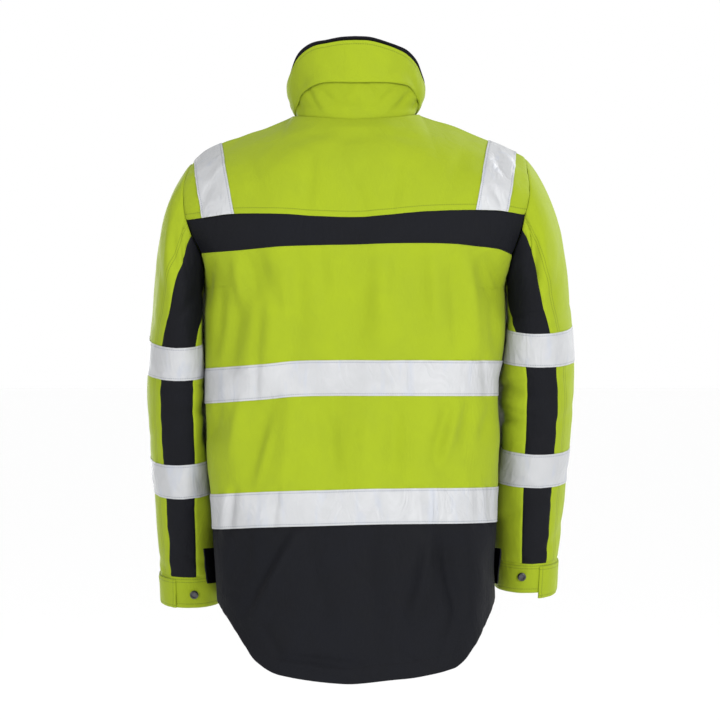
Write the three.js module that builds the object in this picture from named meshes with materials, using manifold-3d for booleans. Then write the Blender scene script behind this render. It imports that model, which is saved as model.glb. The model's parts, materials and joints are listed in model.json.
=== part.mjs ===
// A hi-vis work jacket, hollow as it is worn: back, fronts, collar, set-in sleeves with cuffs,
// reflective tapes, pocket flaps and a front zip. Millimetres, +Z up, +Y the wearer's back,
// +X the wearer's left, z = 0 at the base of the neck.
import * as THREE from 'three';
import * as BufferGeometryUtils from 'three/addons/utils/BufferGeometryUtils.js';
import Module from 'manifold-3d';

// Driving dimensions
const SHELL = 2.4;
const TAPE = 0.9;
const COLLAR_WALL = 2.0;
const SEAM_GAP = 0.3;
const LAY_GAP = 0.3;
const SHOULDER_LAY_GAP = 0.6;
const COLLAR_LAYER_GAP = 0.8;
const NECK_SEAM_GAP = 2;
const ARMHOLE_TOP_GAP = 0.5;
const ARMPIT_GAP = 3.5;
const FLAP_LIFT = 0.6;
const BODY_TAPE = 49;
const SLEEVE_TAPE = 49;
const ARMPIT_Z = -238;
const FORM_BOTTOM_Z = -800;
const SIDE_SEAM_Y = -5;
const BODY_SQUARENESS = 2.5;
const FRONT_HEM_Z = -674;
const ZIP_OPENING = 9;
const SLEEVE_CLEARANCE = 3.8;
const COLUMN_SPREAD = 1.2;
const SIDE_SEAM_FADE = 0.12;
const ARMHOLE_FADE = 0.3;
const CUFF_TAB_INSET = 4;
const STUD_HEIGHT = 3;
const STUD_SEAT = 0.45;
const FLAP_LEAN = 0.1;
const SLIDER_SEAT = 0.9;
const ZIP_HEM_INSET = 4;
const STUD_DIAMETER = 12;
const FLAP_HEIGHT = 49;
const FLAP_TOP_Z = -603;

const NECK = { left: 88.5, right: 90, sideY: -5, depth: 67, leftZ: 2, rightZ: 4, backZ: -4, frontZ: -48 };

// Armhole seam by degrees round it: 0 shoulder tip, 90 back, 180 armpit, 270 front.
const ARMHOLE = [
  { around: 0, leftX: 229, leftZ: -63, rightX: 238, rightZ: -55, y: -8 },
  { around: 30, leftX: 237, leftZ: -86, rightX: 242, rightZ: -80, y: 27 },
  { around: 60, leftX: 239, leftZ: -114, rightX: 243, rightZ: -108, y: 49 },
  { around: 90, leftX: 235, leftZ: -142, rightX: 237, rightZ: -135, y: 59 },
  { around: 115, leftX: 226, leftZ: -167, rightX: 230, rightZ: -163, y: 57 },
  { around: 140, leftX: 214, leftZ: -192, rightX: 219, rightZ: -193, y: 45 },
  { around: 160, leftX: 210, leftZ: -220, rightX: 212, rightZ: -220, y: 24 },
  { around: 180, leftX: 210, leftZ: -238, rightX: 210, rightZ: -238, y: -5 },
  { around: 205, leftX: 209, leftZ: -220, rightX: 210, rightZ: -220, y: -34 },
  { around: 230, leftX: 212, leftZ: -188, rightX: 214, rightZ: -188, y: -55 },
  { around: 270, leftX: 219, leftZ: -144, rightX: 223, rightZ: -140, y: -66 },
  { around: 300, leftX: 225, leftZ: -108, rightX: 231, rightZ: -103, y: -58 },
  { around: 330, leftX: 229, leftZ: -80, rightX: 236, rightZ: -73, y: -37 },
  { around: 360, leftX: 229, leftZ: -63, rightX: 238, rightZ: -55, y: -8 },
];

// Ridge of the shoulders: how high the shoulder seam lies at a distance from the middle.
const SHOULDER_RIDGE = [
  { x: 88, left: 2, right: 4 },
  { x: 110, left: -8, right: -3 },
  { x: 129, left: -15.5, right: -8 },
  { x: 160, left: -26, right: -20 },
  { x: 187, left: -35, right: -32 },
  { x: 209, left: -46, right: -41 },
  { x: 229, left: -63, right: -50 },
  { x: 238, left: -70, right: -55 },
];

// Centre lines of back and front above the armpit, by the share of the way down to it. turn is how
// many degrees the section has turned at the armhole.
const CENTRE_BACK = [
  { down: 0, y: 62, z: -4, turn: 42 },
  { down: 0.12, y: 81, z: -24, turn: 46 },
  { down: 0.25, y: 98, z: -56, turn: 50 },
  { down: 0.4, y: 111, z: -98, turn: 55 },
  { down: 0.6, y: 119, z: -148, turn: 63 },
  { down: 0.8, y: 122, z: -194, turn: 75 },
  { down: 1, y: 121, z: -238, turn: 90 },
];
const CENTRE_FRONT = [
  { down: 0, y: -72, z: -48, turn: 46 },
  { down: 0.15, y: -92, z: -76, turn: 50 },
  { down: 0.35, y: -113, z: -117, turn: 56 },
  { down: 0.6, y: -130, z: -163, turn: 65 },
  { down: 0.8, y: -138, z: -202, turn: 76 },
  { down: 1, y: -142, z: -238, turn: 90 },
];

// Body below the armpit: half-width to each side, and depth to the back and front.
const BODY = [
  { z: -800, left: 190, right: 193, back: 138, front: -146 },
  { z: -735, left: 191, right: 194, back: 135, front: -147 },
  { z: -675, left: 193, right: 195.5, back: 131, front: -148 },
  { z: -625, left: 196, right: 194, back: 127, front: -149 },
  { z: -565, left: 199, right: 198, back: 122, front: -150 },
  { z: -515, left: 203, right: 199, back: 118, front: -150 },
  { z: -450, left: 208, right: 203, back: 113, front: -150 },
  { z: -395, left: 209, right: 200.5, back: 111, front: -150 },
  { z: -367, left: 209.5, right: 200, back: 112, front: -150 },
  { z: -341, left: 210, right: 205, back: 113, front: -149 },
  { z: -300, left: 211, right: 210.5, back: 117, front: -147 },
  { z: -238, left: 210, right: 210, back: 121, front: -142 },
];

// Heights of the seams across the back, from the wearer's right to left.
const CHEST_BAND_TOP = [
  { x: -233, z: -137 },
  { x: -195, z: -132 },
  { x: -102, z: -133.5 },
  { x: -49, z: -138.5 },
  { x: 0, z: -142 },
  { x: 54, z: -140.5 },
  { x: 99, z: -137.5 },
  { x: 166, z: -137 },
  { x: 210, z: -142 },
  { x: 232, z: -144.5 },
];
const CHEST_BAND_BOTTOM = [
  { x: -219, z: -193 },
  { x: -200, z: -186 },
  { x: -169, z: -182.5 },
  { x: -137, z: -179 },
  { x: -74, z: -178 },
  { x: 0, z: -180 },
  { x: 100, z: -182.5 },
  { x: 156, z: -187.5 },
  { x: 213, z: -191 },
];
const WAIST_TAPE_TOP = [
  { x: -200, z: -340 },
  { x: -49, z: -339.5 },
  { x: 35, z: -339.5 },
  { x: 83, z: -340.5 },
  { x: 124, z: -344.5 },
  { x: 210, z: -351 },
];
const HIP_TAPE_TOP = [
  { x: -199, z: -516 },
  { x: -49, z: -516 },
  { x: 35, z: -518 },
  { x: 136, z: -521.5 },
  { x: 199, z: -526 },
];
const TAIL_HEM = [
  { x: -196, z: -674 },
  { x: -191, z: -687 },
  { x: -178.5, z: -713 },
  { x: -167, z: -733.5 },
  { x: -152, z: -753 },
  { x: -137, z: -764 },
  { x: -88, z: -775 },
  { x: -49, z: -779 },
  { x: 0, z: -784 },
  { x: 24, z: -783.5 },
  { x: 60, z: -780 },
  { x: 89, z: -775.5 },
  { x: 115, z: -769 },
  { x: 139, z: -753 },
  { x: 153, z: -733 },
  { x: 164, z: -716 },
  { x: 183, z: -689 },
  { x: 194, z: -674 },
];

// Shoulder tapes: distance of each edge from the middle, by height, on the back and on the front.
const SHOULDER_TAPE_BACK = [
  { z: -145, inner: 166, outer: 211 },
  { z: -90, inner: 177, outer: 220 },
  { z: -30, inner: 187, outer: 226 },
];
const SHOULDER_TAPE_FRONT = [
  { z: -345, inner: 138, outer: 181 },
  { z: -240, inner: 143, outer: 186 },
  { z: -140, inner: 152, outer: 196 },
  { z: -30, inner: 187, outer: 226 },
];

// Sleeve rings square to the arm: outermost and innermost distance from the middle, height and
// place of the ring's centre, and half its depth.
const SLEEVE_LEFT = [
  { ring: 0, outer: 284, inner: 206, z: -262, y: -22, halfDepth: 84 },
  { ring: 1, outer: 290.5, inner: 200, z: -330, y: -34, halfDepth: 81 },
  { ring: 2, outer: 292.5, inner: 197, z: -395, y: -44, halfDepth: 77 },
  { ring: 3, outer: 288.5, inner: 194, z: -462, y: -56, halfDepth: 72 },
  { ring: 4, outer: 282.5, inner: 191, z: -535, y: -70, halfDepth: 66 },
  { ring: 5, outer: 277, inner: 187, z: -621, y: -87, halfDepth: 57 },
  { ring: 6, outer: 274, inner: 188, z: -680, y: -97, halfDepth: 53 },
];
const SLEEVE_RIGHT = [
  { ring: 0, outer: 301.5, inner: 207, z: -255, y: -22, halfDepth: 81 },
  { ring: 1, outer: 307, inner: 200, z: -325, y: -34, halfDepth: 77 },
  { ring: 2, outer: 308, inner: 195, z: -390, y: -44, halfDepth: 73 },
  { ring: 3, outer: 303, inner: 192, z: -455, y: -56, halfDepth: 69 },
  { ring: 4, outer: 296.5, inner: 191, z: -522, y: -69, halfDepth: 64 },
  { ring: 5, outer: 289, inner: 193, z: -604, y: -85, halfDepth: 57 },
  { ring: 6, outer: 284, inner: 196, z: -659, y: -94, halfDepth: 53 },
];

// Places down each arm, counted as in the ring tables; -1 is the armhole.
const ARM_LEFT = { upperTape: 1.04, lowerTape: 3.49, cuffSeam: 5.22, end: 6 };
const ARM_RIGHT = { upperTape: 0.84, lowerTape: 3.41, cuffSeam: 5.2, end: 6 };

// Black strip down the back of each sleeve: degrees round the ring of its outer and inner edge.
const STRIP_LEFT = [
  { down: -1, outer: 114, inner: 172 },
  { down: -0.6, outer: 107, inner: 168 },
  { down: -0.3, outer: 84.5, inner: 163 },
  { down: 0, outer: 69.5, inner: 154 },
  { down: 0.3, outer: 61.5, inner: 136 },
  { down: 0.8, outer: 55, inner: 120.5 },
  { down: 2, outer: 55.5, inner: 114 },
  { down: 3, outer: 53.5, inner: 112 },
  { down: 4.5, outer: 51, inner: 103.5 },
  { down: 6, outer: 50, inner: 98.5 },
];
const STRIP_RIGHT = [
  { down: -1, outer: 111, inner: 172 },
  { down: -0.6, outer: 104, inner: 168 },
  { down: -0.3, outer: 92, inner: 161 },
  { down: 0.1, outer: 77.5, inner: 146.5 },
  { down: 0.6, outer: 67, inner: 122 },
  { down: 1.2, outer: 59, inner: 107 },
  { down: 2, outer: 54.5, inner: 102.5 },
  { down: 3, outer: 54.5, inner: 100.5 },
  { down: 4.2, outer: 51.5, inner: 99 },
  { down: 6, outer: 53.5, inner: 97 },
];

// Collar heights by degrees round from the back: its top edge, and the free edge of its outer layer.
const COLLAR_TOP = [
  { around: 0, left: 108, right: 108 },
  { around: 12, left: 107, right: 107 },
  { around: 25, left: 103.5, right: 101.5 },
  { around: 37, left: 100, right: 95 },
  { around: 48, left: 92.5, right: 87.5 },
  { around: 61, left: 79, right: 73 },
  { around: 74, left: 59, right: 53 },
  { around: 90, left: 44, right: 41 },
  { around: 130, left: 28, right: 27 },
  { around: 180, left: 22, right: 22 },
];
const COLLAR_FREE_EDGE = [
  { around: 0, left: 44, right: 44 },
  { around: 24, left: 44.5, right: 44.5 },
  { around: 37, left: 40.5, right: 43.5 },
  { around: 54, left: 29, right: 38.5 },
  { around: 69, left: 12.5, right: 24.5 },
  { around: 84, left: 3, right: 8 },
  { around: 90, left: 2.5, right: 5 },
];
const COLLAR = { topLeft: 94, topRight: 99, topY: -8, topDepth: 80, bulge: 4, standShare: 0.8, outerDrop: 0.05 };

// Folds as soft troughs (deep above 0) or ridges (below 0) along lines across x and z.
const BACK_FOLDS = [
  { x1: 137, z1: -192, x2: 110, z2: -262, deep: 7, wide: 15 },
  { x1: 162, z1: -250, x2: 176, z2: -345, deep: 8, wide: 16 },
  { x1: 112, z1: -190, x2: 122, z2: -345, deep: -6, wide: 20 },
  { x1: 76, z1: -195, x2: 82, z2: -345, deep: 4, wide: 18 },
  { x1: 2, z1: -185, x2: 0, z2: -345, deep: 5, wide: 24 },
  { x1: -34, z1: -190, x2: -36, z2: -340, deep: -4, wide: 20 },
  { x1: -80, z1: -185, x2: -84, z2: -335, deep: 4, wide: 22 },
  { x1: -172, z1: -192, x2: -196, z2: -262, deep: 6, wide: 13 },
  { x1: 118, z1: -400, x2: 148, z2: -505, deep: 7, wide: 18 },
  { x1: 88, z1: -395, x2: 96, z2: -510, deep: -4, wide: 17 },
  { x1: 26, z1: -400, x2: 44, z2: -512, deep: 4, wide: 20 },
  { x1: -52, z1: -400, x2: -56, z2: -512, deep: 4, wide: 20 },
  { x1: -114, z1: -460, x2: -128, z2: -505, deep: 5, wide: 18 },
  { x1: 190, z1: -420, x2: 200, z2: -455, deep: 5, wide: 14 },
  { x1: 150, z1: -580, x2: 166, z2: -655, deep: 6, wide: 16 },
  { x1: 84, z1: -585, x2: 138, z2: -690, deep: -5, wide: 16 },
  { x1: -100, z1: -600, x2: -82, z2: -690, deep: -5, wide: 20 },
  { x1: -124, z1: -585, x2: -144, z2: -690, deep: 6, wide: 20 },
];
const FRONT_FOLDS = [
  { x1: 140, z1: -215, x2: 112, z2: -325, deep: 6, wide: 16 },
  { x1: 66, z1: -200, x2: 60, z2: -330, deep: 4, wide: 20 },
  { x1: -150, z1: -220, x2: -118, z2: -320, deep: 6, wide: 16 },
  { x1: -70, z1: -190, x2: -74, z2: -330, deep: 4, wide: 21 },
  { x1: 122, z1: -400, x2: 100, z2: -505, deep: 5, wide: 18 },
  { x1: -112, z1: -405, x2: -132, z2: -500, deep: 5, wide: 18 },
  { x1: 60, z1: -590, x2: 72, z2: -650, deep: 4, wide: 18 },
  { x1: -64, z1: -585, x2: -58, z2: -655, deep: 4, wide: 18 },
];
// Sleeve folds run round the arm: middle and reach in degrees, place down the arm.
const SLEEVE_FOLDS = [
  { side: 'left', around: 168, reach: 48, down: 1.95, deep: 4, tall: 0.16 },
  { side: 'left', around: 178, reach: 44, down: 2.5, deep: 4, tall: 0.15 },
  { side: 'left', around: 300, reach: 50, down: 2.2, deep: 4, tall: 0.2 },
  { side: 'right', around: 140, reach: 46, down: 1.75, deep: 5, tall: 0.15 },
  { side: 'right', around: 150, reach: 44, down: 2.35, deep: 4, tall: 0.16 },
  { side: 'right', around: 290, reach: 50, down: 2, deep: 4, tall: 0.2 },
];

const COLORS = { yellow: 0xa9c628, black: 0x25262b, silver: 0xcfd2d8, metal: 0x3a3b40, zipMetal: 0x6d6f74 };
const DEGREE = Math.PI / 180;
const wasm = await Module();
wasm.setup();

// A smooth curve through a table's rows, read at any place between them.
function tableReader(rows, key) {
  const keys = rows.map((row) => row[key]);
  const last = rows.length - 1;
  const slope = (i, column) => {
    const a = Math.max(i - 1, 0);
    const b = Math.min(i + 1, last);
    return (rows[b][column] - rows[a][column]) / (keys[b] - keys[a]);
  };
  return (place, column) => {
    const x = THREE.MathUtils.clamp(place, keys[0], keys[last]);
    let i = 0;
    while (i < last - 1 && x > keys[i + 1]) i += 1;
    const span = keys[i + 1] - keys[i];
    const t = (x - keys[i]) / span;
    const from = rows[i][column] * (1 + 2 * t) * (1 - t) ** 2 + slope(i, column) * span * t * (1 - t) ** 2;
    const to = rows[i + 1][column] * t * t * (3 - 2 * t) + slope(i + 1, column) * span * t * t * (t - 1);
    return from + to;
  };
}

const armholeAt = tableReader(ARMHOLE, 'around');
const ridgeAt = tableReader(SHOULDER_RIDGE, 'x');
const bodyAt = tableReader(BODY, 'z');
const centreAt = { back: tableReader(CENTRE_BACK, 'down'), front: tableReader(CENTRE_FRONT, 'down') };
const shoulderTapeAt = { back: tableReader(SHOULDER_TAPE_BACK, 'z'), front: tableReader(SHOULDER_TAPE_FRONT, 'z') };
const sleeveAt = { left: tableReader(SLEEVE_LEFT, 'ring'), right: tableReader(SLEEVE_RIGHT, 'ring') };
const stripAt = { left: tableReader(STRIP_LEFT, 'down'), right: tableReader(STRIP_RIGHT, 'down') };
const collarTopAt = tableReader(COLLAR_TOP, 'around');
const collarEdgeAt = tableReader(COLLAR_FREE_EDGE, 'around');
const foldsOf = { back: BACK_FOLDS, front: FRONT_FOLDS };
const arm = { left: ARM_LEFT, right: ARM_RIGHT };
const signOf = { left: 1, right: -1 };
const smooth = (t) => THREE.MathUtils.smoothstep(t, 0, 1);

function armholePoint(side, around) {
  const x = armholeAt(around, `${side}X`) * signOf[side];
  return new THREE.Vector3(x, armholeAt(around, 'y'), armholeAt(around, `${side}Z`));
}

// Neckline by degrees from the back; a minus angle is to the wearer's right.
function necklinePoint(around) {
  const side = around < 0 ? 'right' : 'left';
  const a = Math.abs(around) * DEGREE;
  const endZ = a < Math.PI / 2 ? NECK.backZ : NECK.frontZ;
  const z = THREE.MathUtils.lerp(NECK[`${side}Z`], endZ, Math.cos(a) ** 2);
  return new THREE.Vector3(signOf[side] * NECK[side] * Math.sin(a), NECK.sideY + NECK.depth * Math.cos(a), z);
}

// The top row of back and front: neckline in the middle, shoulder seam beside it.
const NECK_SHARE = 0.42;
function topRow(half, u) {
  const side = u < 0 ? 'right' : 'left';
  const share = Math.abs(u);
  if (share <= NECK_SHARE) {
    const a = (share / NECK_SHARE) * 90;
    return necklinePoint(signOf[side] * (half === 'back' ? a : 180 - a));
  }
  const t = (share - NECK_SHARE) / (1 - NECK_SHARE);
  const x = THREE.MathUtils.lerp(NECK[side], armholeAt(0, `${side}X`), t);
  return new THREE.Vector3(signOf[side] * x, THREE.MathUtils.lerp(NECK.sideY, armholeAt(0, 'y'), t), ridgeAt(x, side));
}

// Half of the body without its folds: u runs from the wearer's right (-1) to left (1), v from the
// shoulders (0) past the armpits (1) to the bottom of the form (2).
function sectionPoint(half, u, v) {
  const side = u < 0 ? 'right' : 'left';
  const share = Math.abs(u) ** COLUMN_SPREAD;
  let edge;
  let centre;
  let turn = 90;
  if (v < 1) {
    edge = armholePoint(side, half === 'back' ? 180 * v : 360 - 180 * v);
    centre = new THREE.Vector3(0, centreAt[half](v, 'y'), centreAt[half](v, 'z'));
    turn = centreAt[half](v, 'turn');
  } else {
    const z = THREE.MathUtils.lerp(ARMPIT_Z, FORM_BOTTOM_Z, v - 1);
    edge = new THREE.Vector3(signOf[side] * bodyAt(z, side), SIDE_SEAM_Y, z);
    centre = new THREE.Vector3(0, bodyAt(z, half), z);
  }
  const power = 2 / BODY_SQUARENESS;
  const angle = share * turn * DEGREE;
  const full = turn * DEGREE;
  const across = (Math.sin(angle) / Math.sin(full)) ** power;
  const fullDrop = 1 - Math.max(Math.cos(full), 0) ** power;
  const drop = (1 - Math.max(Math.cos(angle), 0) ** power) / fullDrop;
  return new THREE.Vector3(
    edge.x * across,
    THREE.MathUtils.lerp(centre.y, edge.y, drop),
    THREE.MathUtils.lerp(centre.z, edge.z, across ** 2),
  );
}

const SHOULDER_FADE = 0.35;
function plainBodyPoint(half, u, v) {
  const point = sectionPoint(half, u, v);
  if (v < SHOULDER_FADE) {
    const fade = (1 - v / SHOULDER_FADE) ** 2;
    const shift = topRow(half, u).sub(sectionPoint(half, u, 0));
    point.addScaledVector(shift, fade);
  }
  return point;
}

function bodyNormalOf(half, u, v) {
  const step = 0.004;
  const [u0, u1] = [Math.max(u - step, -1), Math.min(u + step, 1)];
  const [v0, v1] = [Math.max(v - step, 0), Math.min(v + step, 2)];
  const across = plainBodyPoint(half, u1, v).sub(plainBodyPoint(half, u0, v));
  const down = plainBodyPoint(half, u, v1).sub(plainBodyPoint(half, u, v0));
  const normal = half === 'back' ? across.cross(down) : down.cross(across);
  return normal.normalize();
}

// At the shoulder seam both halves share one normal, so their walls meet face to face.
function bodyNormal(half, u, v) {
  const own = bodyNormalOf(half, u, v);
  if (v > 0.03 || Math.abs(u) < NECK_SHARE) return own;
  return own.add(bodyNormalOf(half === 'back' ? 'front' : 'back', u, v)).normalize();
}

function foldDepth(folds, x, z) {
  let depth = 0;
  for (const fold of folds) {
    const [dx, dz] = [fold.x2 - fold.x1, fold.z2 - fold.z1];
    const t = ((x - fold.x1) * dx + (z - fold.z1) * dz) / (dx * dx + dz * dz);
    const near = THREE.MathUtils.clamp(t, 0, 1);
    const off = Math.hypot(x - fold.x1 - near * dx, z - fold.z1 - near * dz);
    depth += fold.deep * Math.exp(-((off / fold.wide) ** 2)) * (0.45 + 0.55 * Math.sin(Math.PI * near));
  }
  return depth;
}

// A body point with its fold, and the way out of the cloth there.
function bodySurface(half, u, v) {
  const point = plainBodyPoint(half, u, v);
  const normal = bodyNormal(half, u, v);
  const edgeFade = smooth((1 - Math.abs(u)) / SIDE_SEAM_FADE);
  point.addScaledVector(normal, -foldDepth(foldsOf[half], point.x, point.z) * edgeFade);
  return { point, normal };
}

// How far down the form a column meets a seam, given the seam's heights across x.
function downToSeam(half, u, seamZ) {
  let [low, high] = [0, 2];
  for (let i = 0; i < 40; i += 1) {
    const middle = (low + high) / 2;
    const point = plainBodyPoint(half, u, middle);
    if (point.z > seamZ(point.x)) low = middle;
    else high = middle;
  }
  return (low + high) / 2;
}

function acrossToX(half, x, v) {
  const sign = Math.sign(x);
  let [low, high] = [0, 1];
  for (let i = 0; i < 40; i += 1) {
    const middle = (low + high) / 2;
    if (Math.abs(plainBodyPoint(half, sign * middle, v).x) < Math.abs(x)) low = middle;
    else high = middle;
  }
  return sign * (low + high) / 2;
}

// Torso half-width at a height and depth, which the sleeves keep clear of.
function torsoHalfWidth(side, y, z) {
  if (z > ARMPIT_Z) return 0;
  const reach = y > SIDE_SEAM_Y ? bodyAt(z, 'back') : bodyAt(z, 'front');
  const share = Math.min(Math.abs((y - SIDE_SEAM_Y) / (reach - SIDE_SEAM_Y)), 1);
  return bodyAt(z, side) * (1 - share ** BODY_SQUARENESS) ** (1 / BODY_SQUARENESS);
}

function ringCentre(side, ring) {
  const r = sleeveAt[side];
  const last = 6;
  const place = THREE.MathUtils.clamp(ring, 0, last);
  const at = (p) => new THREE.Vector3((signOf[side] * (r(p, 'outer') + r(p, 'inner'))) / 2, r(p, 'y'), r(p, 'z'));
  const centre = at(place);
  if (ring > last) centre.addScaledVector(at(last).sub(at(last - 0.1)), (ring - last) * 10);
  return centre;
}

// A point round a sleeve ring, square to the arm.
function ringPoint(side, around, ring) {
  const axis = ringCentre(side, Math.max(ring, 0) + 0.05).sub(ringCentre(side, Math.max(ring - 0.05, 0))).normalize();
  const outward = new THREE.Vector3(signOf[side], 0, 0);
  outward.addScaledVector(axis, -outward.dot(axis)).normalize();
  const rearward = new THREE.Vector3(0, 1, 0);
  rearward.addScaledVector(axis, -rearward.dot(axis)).addScaledVector(outward, -rearward.dot(outward)).normalize();
  const r = sleeveAt[side];
  const halfWidth = (r(ring, 'outer') - r(ring, 'inner')) / 2;
  const a = around * DEGREE;
  const point = ringCentre(side, ring);
  point.addScaledVector(outward, halfWidth * Math.cos(a));
  point.addScaledVector(rearward, r(ring, 'halfDepth') * Math.sin(a));
  const free = torsoHalfWidth(side, point.y, point.z) + SLEEVE_CLEARANCE * smooth(ring * 2 + 1);
  const x = Math.abs(point.x);
  const blend = 3;
  point.x = signOf[side] * 0.5 * (x + free + Math.sqrt((x - free) ** 2 + blend ** 2));
  return point;
}

// A sleeve without its folds: down runs from the armhole (-1) to the first ring (0) and on to the
// cuff's end; round the arm 0 faces outward, 90 back, 180 the body and 270 forward.
function plainSleevePoint(side, around, down) {
  if (down >= 0) return ringPoint(side, around, down);
  const t = down + 1;
  const start = armholePoint(side, around);
  const end = ringPoint(side, around, 0);
  const length = start.distanceTo(end);
  const a = around * DEGREE;
  const leaving = new THREE.Vector3(signOf[side] * (0.47 + 0.23 * Math.cos(a)), 0.2 * Math.sin(a), -0.78);
  leaving.normalize().multiplyScalar(length);
  const step = 0.05;
  const arriving = ringPoint(side, around, step).sub(end).normalize().multiplyScalar(length);
  const point = start.multiplyScalar((1 + 2 * t) * (1 - t) ** 2);
  point.addScaledVector(leaving, t * (1 - t) ** 2);
  point.addScaledVector(end, t * t * (3 - 2 * t));
  return point.addScaledVector(arriving, t * t * (t - 1));
}

function sleeveNormalOf(side, around, down) {
  const step = 0.02;
  const wrap = (a) => ((a % 360) + 360) % 360;
  const low = Math.max(down - step, -1);
  const round = plainSleevePoint(side, wrap(around + 1), down).sub(plainSleevePoint(side, wrap(around - 1), down));
  const along = plainSleevePoint(side, wrap(around), down + step).sub(plainSleevePoint(side, wrap(around), low));
  return round.cross(along).multiplyScalar(-signOf[side]).normalize();
}

// Sleeve and body share a normal along the armhole wherever they face alike.
function armholeNormal(side, around, own, other) {
  const share = smooth((own.dot(other) + 0.1) / 0.6);
  const both = own.clone().add(other).normalize();
  return own.clone().lerp(both, share).normalize();
}

function sleeveFold(side, around, down) {
  let depth = 0;
  for (const fold of SLEEVE_FOLDS) {
    const off = Math.abs(((around - fold.around + 540) % 360) - 180) / fold.reach;
    const rise = (down - fold.down - 0.12 * off) / fold.tall;
    if (fold.side === side) depth += fold.deep * Math.exp(-(rise ** 2) - off ** 2);
  }
  return depth;
}

function sleeveSurface(side, around, down) {
  const angle = ((around % 360) + 360) % 360;
  const point = plainSleevePoint(side, angle, down);
  let normal = sleeveNormalOf(side, angle, down);
  if (down < -0.97) {
    const half = angle < 180 ? 'back' : 'front';
    const v = (angle < 180 ? angle : 360 - angle) / 180;
    normal = armholeNormal(side, angle, normal, bodyNormalOf(half, signOf[side], v));
  }
  point.addScaledVector(normal, -sleeveFold(side, angle, down));
  const underarm = (1 - Math.cos(angle * DEGREE)) / 2;
  const off = THREE.MathUtils.lerp(ARMHOLE_TOP_GAP, ARMPIT_GAP, underarm) * (1 - smooth((down + 1) / ARMHOLE_FADE));
  point.x += signOf[side] * off;
  point.z -= off * 0.5;
  return { point, normal };
}

// The collar by degrees round from the back and height share, lifted for its outer layer.
function collarSurface(around, height) {
  const side = around < 0 ? 'right' : 'left';
  const a = Math.abs(around) * DEGREE;
  const base = necklinePoint(around);
  const topX = signOf[side] * (side === 'left' ? COLLAR.topLeft : COLLAR.topRight) * Math.sin(a);
  const top = new THREE.Vector3(topX, COLLAR.topY + COLLAR.topDepth * Math.cos(a), collarTopAt(Math.abs(around), side));
  const out = new THREE.Vector3(signOf[side] * Math.sin(a), Math.cos(a), 0).normalize();
  const point = base.clone().lerp(top, height);
  point.z += NECK_SEAM_GAP;
  point.addScaledVector(out, NECK_SEAM_GAP * (height - 1));
  point.addScaledVector(out, COLLAR.bulge * Math.sin(Math.PI * THREE.MathUtils.clamp(height, 0, 1)));
  return { point, normal: out };
}

// A closed wall from a grid of surface places. lift is how far its inner face lies off the surface.
function clothWall(rows, lift, thickness, closedRound = false) {
  const count = rows[0].length;
  const positions = [];
  const put = ({ point, normal }, off) => positions.push(...point.clone().addScaledVector(normal, off).toArray());
  rows.forEach((row) => row.forEach((place) => put(place, lift + thickness)));
  rows.forEach((row) => row.forEach((place) => put(place, lift)));
  const inner = rows.length * count;
  const faces = [];
  const at = (i) => new THREE.Vector3().fromArray(positions, i * 3);
  const quad = (a, b, c, d) => {
    const shorter = at(a).distanceTo(at(c)) <= at(b).distanceTo(at(d));
    faces.push(...(shorter ? [a, b, c, a, c, d] : [b, c, d, b, d, a]));
  };
  const columns = closedRound ? count : count - 1;
  for (let i = 0; i < rows.length - 1; i += 1) {
    for (let j = 0; j < columns; j += 1) {
      const k = (j + 1) % count;
      const [a, b, c, d] = [i * count + j, i * count + k, (i + 1) * count + k, (i + 1) * count + j];
      quad(a, b, c, d);
      quad(inner + d, inner + c, inner + b, inner + a);
    }
  }
  const bottom = (rows.length - 1) * count;
  for (let j = 0; j < columns; j += 1) {
    const k = (j + 1) % count;
    quad(k, j, inner + j, inner + k);
    quad(bottom + j, bottom + k, inner + bottom + k, inner + bottom + j);
  }
  if (!closedRound) {
    for (let i = 0; i < rows.length - 1; i += 1) {
      const [a, d] = [i * count, (i + 1) * count];
      const [b, c] = [a + count - 1, d + count - 1];
      quad(a, d, inner + d, inner + a);
      quad(c, b, inner + b, inner + c);
    }
  }
  const geometry = new THREE.BufferGeometry();
  geometry.setAttribute('position', new THREE.Float32BufferAttribute(positions, 3));
  geometry.setIndex(faces);
  if (signedVolume(geometry) < 0) {
    for (let i = 0; i < faces.length; i += 3) [faces[i], faces[i + 1]] = [faces[i + 1], faces[i]];
    geometry.setIndex(faces);
  }
  return geometry;
}

function signedVolume(geometry) {
  const position = geometry.attributes.position;
  const [a, b, c] = [new THREE.Vector3(), new THREE.Vector3(), new THREE.Vector3()];
  let volume = 0;
  for (let i = 0; i < geometry.index.count; i += 3) {
    a.fromBufferAttribute(position, geometry.index.getX(i));
    b.fromBufferAttribute(position, geometry.index.getX(i + 1));
    c.fromBufferAttribute(position, geometry.index.getX(i + 2));
    volume += a.dot(b.cross(c)) / 6;
  }
  return volume;
}

const jacket = new THREE.Group();

function addMesh(name, geometry, color, roughness = 0.85, metalness = 0) {
  const material = new THREE.MeshStandardMaterial({ color, roughness, metalness });
  const mesh = new THREE.Mesh(geometry, material);
  mesh.name = name;
  jacket.add(mesh);
  return mesh;
}

// Places from start to end, both included, in even steps.
function steps(start, end, count) {
  return Array.from({ length: count + 1 }, (_, i) => start + ((end - start) * i) / count);
}

// Joins stretches [start, end, count] that follow on, keeping each shared place once.
function stretches(list) {
  return list.flatMap(([start, end, count], i) => steps(start, end, count).slice(i === 0 ? 0 : 1));
}

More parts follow.
